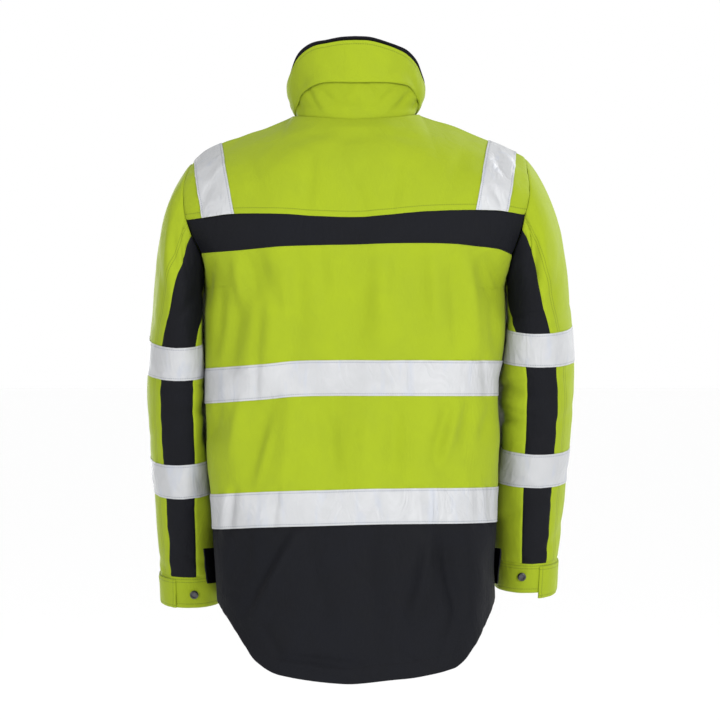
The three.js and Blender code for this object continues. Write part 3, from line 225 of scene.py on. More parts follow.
# Smaller folds that the cloth shows on top of the main ones, by the same columns. Pairs of opposite
# sign side by side give the sharp lit edge of a crease.
FINE_FOLDS = {
    "back": [
        (60, -60, 66, -128, 1.8, 9), (14, -70, -14, -132, 1.6, 10), (-60, -64, -52, -126, 1.2, 10),
        (0, -14, 0, -40, 2.2, 26), (150, -52, 128, -118, 1.6, 12), (-150, -48, -130, -112, 1.6, 12),
        (-28, -20, -96, -34, 1.5, 9), (30, -20, 98, -36, 1.5, 9),
        (196, -82, 214, -128, 1.3, 6), (182, -66, 205, -96, -1.2, 5), (-196, -60, -214, -88, 1.8, 5),
        (-204, -52, -222, -72, -1.6, 5), (-188, -98, -206, -126, 1.2, 6),
        (134, -340, 138, -398, 1.6, 6), (-179, -336, -183, -394, 1.6, 6), (60, -344, 58, -394, 1.1, 7),
        (-66, -340, -70, -392, 1.0, 8), (168, -516, 174, -578, 2.4, 6), (178, -520, 184, -574, -1.4, 5),
        (109, -518, 113, -575, 1.7, 6), (-87, -515, -93, -570, 1.6, 5), (-101, -515, -105, -570, -1.2, 6),
        (-168, -514, -172, -566, 1.8, 6), (-186, -512, -188, -566, 2.4, 6), (40, -517, 44, -572, 1.1, 8),
        (189, -404, 204, -440, 2.2, 7), (45, -398, 20, -512, 2.2, 12), (-59, -402, -51, -510, 2, 11),
        (-143, -402, -123, -480, -3.2, 8), (-128, -404, -110, -474, 2.4, 9), (-158, -398, -150, -470, 2.2, 9),
        (160, -398, 172, -470, -2.6, 9), (112, -420, 136, -508, -2, 7), (-18, -400, -12, -506, -1.6, 12),
        (-190, -402, -176, -452, 2.2, 8), (80, -470, 92, -512, 1.5, 8),
        (150, -196, 134, -250, 2.2, 7), (165, -200, 158, -262, -2.4, 8), (185, -240, 196, -330, 2.6, 8),
        (128, -262, 136, -338, 2.4, 9), (96, -210, 92, -300, -2, 9), (48, -190, 40, -262, 2, 11),
        (-20, -200, -14, -300, 1.8, 12), (-58, -188, -52, -262, 2, 10), (-106, -190, -112, -290, -2.4, 10),
        (-134, -200, -142, -320, 2.6, 10), (-160, -208, -170, -318, -2.2, 8), (-186, -196, -206, -240, 2.4, 6),
        (-190, -270, -200, -334, 2, 8), (200, -206, 208, -260, 2, 7),
        (81, -581, 137, -693, -3, 9), (96, -581, 150, -688, 2.2, 9), (-101, -601, -81, -693, -3, 10),
        (-88, -604, -66, -690, 2, 9), (-123, -587, -143, -685, 2.6, 9), (170, -590, 180, -656, 2, 8),
        (105, -745, -11, -759, 1.8, 6), (96, -754, 10, -770, -1.6, 5), (60, -600, 40, -700, 1.8, 14),
        (-20, -590, -26, -720, 1.8, 16), (-150, -660, -120, -745, 1.6, 9), (130, -700, 100, -752, 1.6, 8),
        (-60, -740, -96, -764, 1.4, 6),
    ],
    "front": [
        (120, -70, 96, -150, 1.8, 11), (-118, -66, -98, -148, 1.8, 11), (52, -70, 60, -160, 1.4, 11),
        (-50, -72, -62, -164, 1.4, 11), (172, -236, 160, -330, 2.4, 9), (-176, -240, -158, -326, 2.4, 9),
        (92, -206, 80, -300, -2, 9), (-96, -210, -88, -310, -2, 9), (36, -220, 30, -330, 1.6, 9),
        (-34, -214, -38, -326, 1.6, 9), (134, -398, 118, -500, 2.4, 10), (76, -402, 84, -508, -1.8, 10),
        (-80, -402, -70, -506, 2, 10), (-142, -400, -126, -480, -2.4, 9), (178, -404, 184, -470, 2.2, 8),
        (-180, -400, -184, -466, 2.2, 8), (24, -520, 26, -572, 1.2, 7), (-64, -518, -66, -570, 1.4, 6),
        (104, -520, 108, -572, 1.4, 7), (-120, -516, -124, -570, 1.5, 6), (90, -590, 98, -660, 1.8, 10),
        (-92, -588, -86, -662, 1.8, 10),
    ],
}
# Sleeve folds run round the arm: middle and reach in degrees, place down the arm, its slant per reach.
SLEEVE_FOLD_COLUMNS = "side around reach down deep tall slant"
SLEEVE_FOLDS = [
    ("left", 168, 48, 1.95, 4, 0.16, 0.12), ("left", 178, 44, 2.5, 4, 0.15, 0.12), ("left", 300, 50, 2.2, 4, 0.2, 0.12),
    ("right", 140, 46, 1.75, 5, 0.15, 0.12), ("right", 150, 44, 2.35, 4, 0.16, 0.12), ("right", 290, 50, 2, 4, 0.2, 0.12),
]
FINE_SLEEVE_FOLDS = [
    ("right", 97, 15, -0.52, 6, 0.26, 0), ("right", 79, 12, -0.5, -3, 0.3, 0), ("right", 100, 14, -0.86, 2.5, 0.05, 0.35), ("right", 40, 30, -0.3, 1.8, 0.1, 0.2),
    ("right", 95, 26, -0.35, 2.2, 0.07, -0.2), ("right", 130, 30, 0.2, 1.8, 0.08, 0.1), ("right", 20, 40, 0.15, 1.2, 0.1, 0.2),
    ("right", 130, 34, 1.6, 1.8, 0.05, 0.14), ("right", 138, 30, 1.92, 2, 0.05, 0.1), ("right", 134, 34, 2.14, 1.8, 0.05, -0.08),
    ("right", 142, 36, 2.46, 1.6, 0.05, 0.1), ("right", 60, 40, 1.4, 1.4, 0.12, -0.2), ("right", 40, 50, 2.3, 1.6, 0.14, 0.3),
    ("right", 100, 40, 2.75, 1.5, 0.09, 0.2), ("right", 70, 44, 3.9, 1.5, 0.13, -0.3), ("right", 120, 40, 4.3, 1.7, 0.1, 0.2),
    ("right", 30, 46, 4.7, 1.6, 0.12, 0.3), ("right", 90, 30, 5.02, 1.3, 0.06, 0.1), ("right", 0, 50, 3.5, 1.1, 0.14, 0.2),
    ("left", 84, 15, -0.6, 4, 0.2, 0.1), ("left", 64, 13, -0.55, -2.5, 0.25, 0), ("left", 100, 14, -0.85, 2.2, 0.05, 0.3), ("left", 40, 34, -0.3, 1.6, 0.1, 0.2),
    ("left", 110, 30, -0.1, 1.8, 0.08, -0.2), ("left", 150, 34, 1.62, 1.6, 0.06, 0.1), ("left", 150, 34, 2.2, 1.8, 0.05, 0.1),
    ("left", 154, 30, 2.72, 1.6, 0.06, -0.1), ("left", 60, 44, 1.5, 1.5, 0.13, 0.3), ("left", 40, 50, 2.5, 1.6, 0.14, -0.3),
    ("left", 90, 44, 3.95, 1.6, 0.12, 0.2), ("left", 60, 44, 4.5, 1.6, 0.12, -0.3), ("left", 110, 40, 4.9, 1.5, 0.08, 0.2),
    ("left", 20, 50, 5.0, 1.2, 0.1, 0.2), ("left", 0, 50, 3.7, 1.1, 0.14, 0.2), ("left", 220, 40, 3.8, 1.8, 0.12, 0.2),
    ("right", 220, 40, 3.7, 1.8, 0.12, 0.2), ("left", 260, 46, 1.4, 1.8, 0.14, 0.2), ("right", 260, 46, 1.2, 1.8, 0.14, 0.2),
    ("left", 270, 44, 4.4, 1.6, 0.12, -0.2), ("right", 270, 44, 4.3, 1.6, 0.12, -0.2),
]

# Waves of the cloth itself: directions, lengths and phases drawn once, so that every run is the same.
rng = np.random.default_rng(7508)
WAVE_COUNT = 26
wave_ways = rng.normal(size=(WAVE_COUNT, 3)) * (1, 1, 0.6)
wave_ways /= np.linalg.norm(wave_ways, axis=1)[:, None]
wave_lengths = 26 * 3.2 ** rng.random(WAVE_COUNT)
wave_phases = rng.random(WAVE_COUNT) * 2 * math.pi


def waves(point, deep=1.0):
    """A soft unevenness in millimetres, the same wherever two pieces meet."""
    total = np.zeros(point.shape[:-1])
    for way, length, phase in zip(wave_ways, wave_lengths, wave_phases):
        total += np.sin(point @ way * (2 * math.pi / length) + phase) * (length / 60)
    return total * deep / math.sqrt(WAVE_COUNT)


def both_sides(u, read):
    """A value that differs to the wearer's left (u 0 and up) and right."""
    return np.where(u < 0, read("right"), read("left"))


def vector(x, y, z):
    return np.stack(np.broadcast_arrays(x, y, z), axis=-1).astype(float)


def unit(v):
    return v / np.maximum(np.linalg.norm(v, axis=-1, keepdims=True), 1e-12)


def armhole_point(side, around):
    return vector(ARMHOLE(around, side) * SIGN[side], ARMHOLE(around, "y"), ARMHOLE(around, side + "_z"))


def neckline_point(around):
    a = np.radians(np.abs(around))
    half_width = both_sides(around, lambda s: NECK[s])
    end_z = np.where(a < math.pi / 2, NECK["back_z"], NECK["front_z"])
    z = lerp(both_sides(around, lambda s: NECK[s + "_z"]), end_z, np.cos(a) ** 2)
    return vector(np.where(around < 0, -1, 1) * half_width * np.sin(a), NECK["side_y"] + NECK["depth"] * np.cos(a), z)


def top_row(half, u):
    sign = np.where(u < 0, -1, 1)
    share = np.abs(u)
    a = share / NECK_SHARE * 90
    neck = neckline_point(sign * (a if half == "back" else 180 - a))
    t = (share - NECK_SHARE) / (1 - NECK_SHARE)
    x = lerp(both_sides(u, lambda s: NECK[s]), both_sides(u, lambda s: ARMHOLE(0, s)), t)
    ridge = both_sides(u, lambda s: SHOULDER_RIDGE(x, s))
    shoulder = vector(sign * x, lerp(NECK["side_y"], float(ARMHOLE(0, "y")), t), ridge)
    return np.where((share <= NECK_SHARE)[..., None], neck, shoulder)


def section_point(half, u, v):
    u, v = np.broadcast_arrays(np.asarray(u, float), np.asarray(v, float))
    share = np.abs(u) ** 1.2
    around = 180 * np.minimum(v, 1) if half == "back" else 360 - 180 * np.minimum(v, 1)
    sides = {s: armhole_point(s, around) for s in SIGN}
    edge = np.where((u < 0)[..., None], sides["right"], sides["left"])
    z = lerp(ARMPIT_Z, FORM_BOTTOM_Z, np.maximum(v - 1, 0))
    low_x = np.where(u < 0, -BODY(z, "right"), BODY(z, "left"))
    above = v < 1
    edge = np.where(above[..., None], edge, vector(low_x, SIDE_SEAM_Y, z))
    centre = CENTRE[half]
    centre_y = np.where(above, centre(v, "y"), BODY(z, half))
    centre_z = np.where(above, centre(v, "z"), z)
    full = np.radians(np.where(above, centre(v, "turn"), 90))
    power = 2 / BODY_SQUARENESS
    angle = share * full
    across = (np.sin(angle) / np.sin(full)) ** power
    full_drop = 1 - np.maximum(np.cos(full), 0) ** power
    drop = (1 - np.maximum(np.cos(angle), 0) ** power) / full_drop
    return vector(edge[..., 0] * across, lerp(centre_y, edge[..., 1], drop), lerp(centre_z, edge[..., 2], across ** 2))


def plain_body_point(half, u, v):
    u, v = np.broadcast_arrays(np.asarray(u, float), np.asarray(v, float))
    point = section_point(half, u, v)
    fade = np.clip(1 - v / SHOULDER_FADE, 0, 1) ** 2
    return point + (top_row(half, u) - section_point(half, u, 0)) * fade[..., None]


def body_normal_of(half, u, v):
    step = 0.004
    u0, u1 = np.maximum(u - step, -1), np.minimum(u + step, 1)
    v0, v1 = np.maximum(v - step, 0), np.minimum(v + step, 2)
    across = plain_body_point(half, u1, v) - plain_body_point(half, u0, v)
    down = plain_body_point(half, u, v1) - plain_body_point(half, u, v0)
    return unit(np.cross(across, down) if half == "back" else np.cross(down, across))


def body_normal(half, u, v):
    own = body_normal_of(half, u, v)
    other = body_normal_of("front" if half == "back" else "back", u, v)
    alone = (v > 0.03) | (np.abs(u) < NECK_SHARE)
    return np.where(alone[..., None], own, unit(own + other))


def fold_depth(folds, x, z):
    depth = np.zeros(np.shape(x))
    for x1, z1, x2, z2, deep, wide in folds:
        dx, dz = x2 - x1, z2 - z1
        near = np.clip(((x - x1) * dx + (z - z1) * dz) / (dx * dx + dz * dz), 0, 1)
        off = np.hypot(x - x1 - near * dx, z - z1 - near * dz)
        depth += deep * np.exp(-((off / wide) ** 2)) * (0.45 + 0.55 * np.sin(math.pi * near))
    return depth


def body_surface(half, u, v):
    """Places on the body with their folds, and the way out of the cloth there."""
    u, v = np.broadcast_arrays(np.asarray(u, float), np.asarray(v, float))
    point = plain_body_point(half, u, v)
    normal = body_normal(half, u, v)
    edge_fade = smooth((1 - np.abs(u)) / 0.12)
    x, z = point[..., 0], point[..., 2]
    depth = MAIN_DEPTH * fold_depth(MAIN_FOLDS[half], x, z) + FINE_DEPTH * fold_depth(FINE_FOLDS[half], x, z)
    depth = depth * edge_fade - waves(point, BODY_WAVES)
    return point - normal * depth[..., None], normal


def down_to_seam(half, u, seam_z):
    """How far down the form each column meets a seam, given the seam's heights across x."""
    low, high = np.zeros(np.shape(u)), np.full(np.shape(u), 2.0)
    for _ in range(36):
        middle = (low + high) / 2
        point = plain_body_point(half, u, middle)
        above = point[..., 2] > seam_z(point[..., 0])
        low, high = np.where(above, middle, low), np.where(above, high, middle)
    return (low + high) / 2


def across_to_x(half, x, v):
    sign = np.where(np.asarray(x) < 0, -1, 1)
    low, high = np.zeros(np.shape(sign * v)), np.ones(np.shape(sign * v))
    for _ in range(36):
        middle = (low + high) / 2
        near = np.abs(plain_body_point(half, sign * middle, v)[..., 0]) < np.abs(x)
        low, high = np.where(near, middle, low), np.where(near, high, middle)
    return sign * (low + high) / 2


def torso_half_width(side, y, z):
    reach = np.where(y > SIDE_SEAM_Y, BODY(z, "back"), BODY(z, "front"))
    share = np.minimum(np.abs((y - SIDE_SEAM_Y) / (reach - SIDE_SEAM_Y)), 1)
    width = BODY(z, side) * (1 - share**BODY_SQUARENESS) ** (1 / BODY_SQUARENESS)
    return np.where(z > ARMPIT_Z, 0, width)


def ring_centre(side, ring):
    table, last = SLEEVE[side], 6.0

    def at(p):
        return vector(SIGN[side] * (table(p, "outer") + table(p, "inner")) / 2, table(p, "y"), table(p, "z"))

    past = np.maximum(np.asarray(ring, float) - last, 0)[..., None] * 10
    return at(np.clip(ring, 0, last)) + (at(last) - at(last - 0.1)) * past


def ring_point(side, around, ring):
    around, ring = np.broadcast_arrays(np.asarray(around, float), np.asarray(ring, float))
    axis = unit(ring_centre(side, np.maximum(ring, 0) + 0.05) - ring_centre(side, np.maximum(ring - 0.05, 0)))
    outward = np.broadcast_to([SIGN[side], 0.0, 0.0], axis.shape)
    outward = unit(outward - axis * (outward * axis).sum(-1, keepdims=True))
    rearward = np.broadcast_to([0.0, 1.0, 0.0], axis.shape)
    rearward = rearward - axis * (rearward * axis).sum(-1, keepdims=True)
    rearward = unit(rearward - outward * (rearward * outward).sum(-1, keepdims=True))
    table = SLEEVE[side]
    half_width = (table(ring, "outer") - table(ring, "inner")) / 2
    a = np.radians(around)
    point = ring_centre(side, ring)
    point = point + outward * (half_width * np.cos(a))[..., None] + rearward * (table(ring, "half_depth") * np.sin(a))[..., None]
    free = torso_half_width(side, point[..., 1], point[..., 2]) + SLEEVE_CLEARANCE * smooth(ring * 2 + 1)
    x, blend = np.abs(point[..., 0]), 3
    point[..., 0] = SIGN[side] * 0.5 * (x + free + np.sqrt((x - free) ** 2 + blend**2))
    return point


def plain_sleeve_point(side, around, down):
    around, down = np.broadcast_arrays(np.asarray(around, float), np.asarray(down, float))
    t = np.minimum(down, 0)[..., None] + 1
    start = armhole_point(side, around)
    end = ring_point(side, around, np.zeros(around.shape))
    length = np.linalg.norm(start - end, axis=-1, keepdims=True)
    a = np.radians(around)
    leaving = unit(vector(SIGN[side] * (0.47 + 0.23 * np.cos(a)), 0.2 * np.sin(a), -0.78)) * length
    arriving = unit(ring_point(side, around, np.full(around.shape, 0.05)) - end) * length
    cap = start * (1 + 2 * t) * (1 - t) ** 2 + leaving * t * (1 - t) ** 2
    cap = cap + end * t * t * (3 - 2 * t) + arriving * t * t * (t - 1)
    return np.where((down >= 0)[..., None], ring_point(side, around, np.maximum(down, 0)), cap)


def sleeve_surface(side, around, down):
    around, down = np.broadcast_arrays(np.asarray(around, float) % 360, np.asarray(down, float))
    step = 0.02
    point = plain_sleeve_point(side, around, down)
    across = plain_sleeve_point(side, (around + 1) % 360, down) - plain_sleeve_point(side, (around - 1) % 360, down)
    along = plain_sleeve_point(side, around, down + step) - plain_sleeve_point(side, around, np.maximum(down - step, -1))
    own = unit(np.cross(across, along) * -SIGN[side])
    other = np.where(
        (around < 180)[..., None],
        body_normal_of("back", SIGN[side] * np.ones(around.shape), np.clip(around / 180, 0, 1)),
        body_normal_of("front", SIGN[side] * np.ones(around.shape), np.clip((360 - around) / 180, 0, 1)),
    )
    alike = smooth(((own * other).sum(-1, keepdims=True) + 0.1) / 0.6)
    near = (1 - smooth((down + 1) / 0.12))[..., None]
    normal = unit(own + (unit(own + other) - own) * alike * near)
    depth = -waves(point, SLEEVE_WAVES) * smooth((down + 1) / 0.2)
    for fold_side, middle, reach, place, deep, tall, slant in SLEEVE_FOLDS + FINE_SLEEVE_FOLDS:
        if fold_side == side:
            turn = (around - middle + 540) % 360 - 180
            off = np.abs(turn) / reach
            lean = off if (fold_side, middle, reach, place, deep, tall, slant) in SLEEVE_FOLDS else turn / reach
            depth = depth + deep * np.exp(-(((down - place - slant * lean) / tall) ** 2) - off**2)
    point = point - normal * depth[..., None]
    underarm = (1 - np.cos(np.radians(around))) / 2
    off = lerp(ARMHOLE_TOP_GAP, ARMPIT_GAP, underarm) * (1 - smooth((down + 1) / 0.3))
    point[..., 0] += SIGN[side] * off
    point[..., 2] -= off * 0.5
    return point, normal


def collar_surface(around, height):
    around, height = np.broadcast_arrays(np.asarray(around, float), np.asarray(height, float))
    sign = np.where(around < 0, -1, 1)
    a = np.radians(np.abs(around))
    top_z = both_sides(around, lambda s: COLLAR_TOP(np.abs(around), s))
    top = vector(sign * both_sides(around, lambda s: COLLAR[s]) * np.sin(a), COLLAR["top_y"] + COLLAR["top_depth"] * np.cos(a), top_z)
    out = unit(vector(sign * np.sin(a), np.cos(a), 0))
    point = lerp(neckline_point(around), top, height[..., None])
    point[..., 2] += NECK_SEAM_GAP
    push = NECK_SEAM_GAP * (height - 1) + COLLAR["bulge"] * np.sin(math.pi * np.clip(height, 0, 1))
    return point + out * push[..., None], out


def steps(start, end, count):
    return start + (end - start) * np.arange(count + 1) / count


def stretches(parts):
    """Joins stretches (start, end, count) that follow on, keeping each shared place once."""
    return np.concatenate([steps(*part)[0 if i == 0 else 1:] for i, part in enumerate(parts)])


def seam_steps(length, spacing):
    """Shares from 0 to 1 along a length in millimetres, closer together beside the seams at both ends."""
    near = np.array([0, 0.9, 1.9, 3.2, 5, 7.5])
    count = max(int((length - 15) / spacing), 2)
    places = np.concatenate([near, steps(7.5, length - 7.5, count)[1:-1], length - near[::-1]])
    return places / length


def edge_distances(point):
    """For each place of a grid: millimetres from its first column, top row, last column and bottom row."""
    across = np.linalg.norm(np.diff(point, axis=1), axis=-1)
    along = np.linalg.norm(np.diff(point, axis=0), axis=-1)
    zero_column, zero_row = np.zeros((point.shape[0], 1)), np.zeros((1, point.shape[1]))
    from_first = np.concatenate([zero_column, np.cumsum(across, axis=1)], axis=1)
    from_top = np.concatenate([zero_row, np.cumsum(along, axis=0)], axis=0)
    return from_first, from_top, from_first[:, -1:] - from_first, from_top[-1:] - from_top


def cloth_wall(name, grid, thickness, lift=0.0, closed=False, roll="tbfl", roll_deep=0.8):
    """A closed thin wall over a grid of places. Its outer face lies at lift + thickness off the surface.

    The edges named in roll (t, b, f, l: top, bottom, first, last) turn down a little into their seams."""
    point, normal = grid
    if closed:
        point, normal = (np.concatenate([g, g[:, :1]], axis=1) for g in (point, normal))
    rows, count = point.shape[:2]
    distances = edge_distances(point)
    seated = np.zeros((rows, count))
    for letter, distance in zip("ftlb", distances):
        if letter in roll:
            seated += roll_deep * np.exp(-((distance / ROLL_WIDTH) ** 2))
            seated += PUCKER * np.exp(-distance / PUCKER_REACH) * waves(point * PUCKER_FINENESS, 1)
    outer = point + normal * (lift + thickness - seated)[..., None]
    inner = point + normal * (lift - seated * 0.5)[..., None]
    wide = count - 1 if closed else count
    vertices = np.concatenate([outer[:, :wide].reshape(-1, 3), inner[:, :wide].reshape(-1, 3)])
    i, j = np.meshgrid(np.arange(rows - 1), np.arange(count - 1), indexing="ij")
    i, j = i.ravel(), j.ravel()
    k = (j + 1) % wide if closed else j + 1
    base = rows * wide
    near_a, near_b, near_c, near_d = i * wide + j, i * wide + k, (i + 1) * wide + k, (i + 1) * wide + j
    uv_a, uv_b, uv_c, uv_d = i * count + j, i * count + j + 1, (i + 1) * count + j + 1, (i + 1) * count + j
    faces = [np.stack([near_a, near_b, near_c, near_d], 1), np.stack([near_d, near_c, near_b, near_a], 1) + base]
    uvs = [np.stack([uv_a, uv_b, uv_c, uv_d], 1), np.stack([uv_d, uv_c, uv_b, uv_a], 1)]

    def rim(at, uv_at, flip):
        """A strip between outer and inner faces along one row or column of vertices."""
        a, b = at[:-1], at[1:]
        ua, ub = uv_at[:-1], uv_at[1:]
        quad = np.stack([b, a, a + base, b + base], 1)
        quad_uv = np.stack([ub, ua, ua, ub], 1)
        faces.append(quad[:, ::-1] if flip else quad)
        uvs.append(quad_uv[:, ::-1] if flip else quad_uv)

    columns = np.arange(count)
    place = columns % wide
    rim(place, columns, False)
    rim((rows - 1) * wide + place, (rows - 1) * count + columns, True)
    if not closed:
        down = np.arange(rows)
        rim(down * wide, down * count, True)
        rim(down * wide + count - 1, down * count + count - 1, False)
    faces, uvs = np.concatenate(faces), np.concatenate(uvs)
    a, b, c, d = (vertices[faces[:, n]] for n in range(4))
    volume = (np.cross(b - a, c - a) * a).sum() + (np.cross(c - a, d - a) * a).sum()
    if volume < 0:
        faces, uvs = faces[:, ::-1], uvs[:, ::-1]
    piece = new_mesh(name, vertices * MM, faces)
    first, top, last, bottom = (d.ravel() * MM for d in distances)
    for layer, (across, down) in {"Cloth": (first, top), "Far": (last, bottom)}.items():
        uv_layer = piece.data.uv_layers.new(name=layer)
        uv_layer.data.foreach_set("uv", np.stack([across[uvs.ravel()], down[uvs.ravel()]], 1).ravel())
    return piece


def new_mesh(name, vertices, faces, sharp_over=50):
    mesh = bpy.data.meshes.new(name)
    mesh.vertices.add(len(vertices))
    mesh.vertices.foreach_set("co", np.asarray(vertices, np.float32).ravel())
    width = faces.shape[1]
    mesh.loops.add(faces.size)
    mesh.loops.foreach_set("vertex_index", faces.astype(np.int32).ravel())
    mesh.polygons.add(len(faces))
    mesh.polygons.foreach_set("loop_start", np.arange(len(faces), dtype=np.int32) * width)
    mesh.update(calc_edges=True)
    mesh.validate()
    mesh.polygons.foreach_set("use_smooth", np.ones(len(mesh.polygons), bool))
    mesh.set_sharp_from_angle(angle=math.radians(sharp_over))
    piece = bpy.data.objects.new(name, mesh)
    bpy.context.scene.collection.objects.link(piece)
    return piece


# How the cloth rolls into a seam and puckers beside it, and how uneven each part lies
ROLL_WIDTH = 1.7
PUCKER = 0.45
PUCKER_REACH = 7
PUCKER_FINENESS = 3.4
MAIN_DEPTH = 1.25
FINE_DEPTH = 2.0
BODY_WAVES = 0.7
SLEEVE_WAVES = 0.6


# Pieces: where each lies, its finish, and the cloth that it was cut from
PANEL_SPACING = 3.4
SHOULDER_TAPE_COLUMNS = 14
JACKET = "jacket"


def seam(table):
    return lambda x: table(x, "z")


band_top, band_bottom = seam(CHEST_BAND_TOP), seam(CHEST_BAND_BOTTOM)
waist_top, hip_top, tail_hem = seam(WAIST_TAPE_TOP), seam(HIP_TAPE_TOP), seam(TAIL_HEM)


def waist_bottom(x):
    return waist_top(x) - BODY_TAPE


def hip_bottom(x):
    return hip_top(x) - BODY_TAPE


def front_hem(x):
    return FRONT_HEM_Z + 0 * x


def spaced(length):
    return seam_steps(length, PANEL_SPACING)


# Columns across the back, closer together beside the side seams
BACK_COLUMNS = spaced(460) * 2 - 1


def body_places(half, u, v):
    return body_surface(half, *np.broadcast_arrays(u, v))


def back_rows(upper, lower, length):
    start, end = down_to_seam("back", BACK_COLUMNS, upper), down_to_seam("back", BACK_COLUMNS, lower)
    return start + (end - start) * spaced(length)[:, None]


def join_rows(parts):
    """Row places of parts that follow on, and the row numbers of each part."""
    rows, spans, at = [parts[0]], [(0, len(parts[0]))], len(parts[0]) - 1
    for part in parts[1:]:
        rows.append(part[1:])
        spans.append((at, at + len(part)))
        at += len(part) - 1
    return np.concatenate(rows), spans


def rows_of(grid, span):
    return tuple(g[span[0]:span[1]] for g in grid)


def columns_of(grid, start, end):
    return tuple(g[:, start:end] for g in grid)


def yoke_grid():
    shares = spaced(150)
    guide = shares * down_to_seam("back", np.array([0.8]), band_top)[0]
    z = plain_body_point("back", 0.8, guide)[:, 2]
    inner, outer = SHOULDER_TAPE["back"](z, "inner"), SHOULDER_TAPE["back"](z, "outer")
    right_out, right_in, left_in, left_out = (across_to_x("back", x, guide) for x in (-outer, -inner, inner, outer))
    u = np.array([
        stretches([
            (-1, right_out[i], 8), (right_out[i], right_in[i], SHOULDER_TAPE_COLUMNS), (right_in[i], 0, 52),
            (0, left_in[i], 52), (left_in[i], left_out[i], SHOULDER_TAPE_COLUMNS), (left_out[i], 1, 8),
        ])
        for i in range(len(shares))
    ])
    return body_places("back", u, down_to_seam("back", u, band_top) * shares[:, None])


def front_grid(side, upper, lower, length, middle=40):
    """A front from the zip to the side between two seams; its columns follow the shoulder tape."""
    sign, shares = SIGN[side], spaced(length)
    guide_u = np.array([sign * 0.7])
    top = down_to_seam("front", guide_u, upper)[0] if upper else 0
    bottom = down_to_seam("front", guide_u, lower)[0]
    guide = top + (bottom - top) * shares
    z = plain_body_point("front", sign * 0.7, guide)[:, 2]
    table = SHOULDER_TAPE["front"]
    zip_edge, inner, outer = (across_to_x("front", sign * x, guide) for x in (ZIP_OPENING + 0 * z, table(z, "inner"), table(z, "outer")))
    u = np.array([
        stretches([(zip_edge[i], inner[i], middle), (inner[i], outer[i], SHOULDER_TAPE_COLUMNS), (outer[i], sign, 16)])
        for i in range(len(shares))
    ])
    start = down_to_seam("front", u, upper) if upper else 0
    end = down_to_seam("front", u, lower)
    return u, start + (end - start) * shares[:, None]


# Cut of each piece, alike on both sides: millimetres wide and long, and the share of that rectangle it fills
CUT = {
    "back_yoke": (565, 200, 0.72), "back_chest_band": (500, 60, 0.76), "back_body": (565, 410, 0.9),
    "back_hem_panel": (620, 220, 0.7), "front": (285, 615, 0.85), "front_lower": (275, 110, 0.96),
    "sleeve": (295, 595, 0.64), "sleeve_strip": (100, 505, 0.47), "under_sleeve": (150, 455, 0.79),
    "cuff": (325, 45, 0.95), "cuff_tab": (120, 47, 0.9), "pocket_flap": (126, 49, 0.99),
    "collar_lining": (600, 125, 0.51), "collar_stand": (570, 100, 0.54), "collar_outer": (580, 80, 0.6),
    "shoulder_tape": (57, 517, 0.81), "waist_tape_back": (545, 50, 0.97), "waist_tape_front": (285, 50, 0.97),
    "hip_tape_back": (540, 50, 0.98), "hip_tape_front": (280, 50, 0.97),
    "sleeve_tape_upper": (415, 50, 0.97), "sleeve_tape_lower": (390, 50, 0.97),
}
slot_of = {}


def finish_piece(piece, slot, nodes):
    slot_of[piece.name] = slot
    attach(piece, JACKET)
    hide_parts(*nodes)
    wide, long, share = CUT[piece.name.removesuffix("_cloth").removesuffix("_left").removesuffix("_right")]
    wide, long = wide * MM, long * MM
    return piece


def panel(name, grid, slot="yellow_cloth", rests_on=(), node=None, **options):
    piece = cloth_wall(name + "_cloth", grid, SHELL, lift=-SHELL, **options)
    return finish_piece(piece, slot, [node or name])


def tape(name, grid, lift=LAY_GAP, closed=False):
    piece = cloth_wall(name + "_cloth", grid, TAPE, lift=lift, closed=closed, roll="tb" if closed else "tbfl", roll_deep=0.45)
    return finish_piece(piece, "reflective_tape", [name])


def add_back(yoke):
    panel("back_yoke", yoke, rests_on=["collar_stand_cloth"], roll="bfl")
    band = body_places("back", BACK_COLUMNS, back_rows(band_top, band_bottom, 46))
    panel("back_chest_band", band, "black_cloth", ["back_yoke_cloth"])
    rows, spans = join_rows([
        back_rows(band_bottom, waist_top, 162), back_rows(waist_top, waist_bottom, 49),
        back_rows(waist_bottom, hip_top, 127), back_rows(hip_top, hip_bottom, 49),
    ])
    body = body_places("back", BACK_COLUMNS, rows)
    panel("back_body", body, rests_on=["back_chest_band_cloth"])
    tape("waist_tape_back", rows_of(body, spans[1]))
    tape("hip_tape_back", rows_of(body, spans[3]))
    tail = body_places("back", BACK_COLUMNS, back_rows(hip_bottom, tail_hem, 210))
    panel("back_hem_panel", tail, "black_cloth", ["back_body_cloth"])


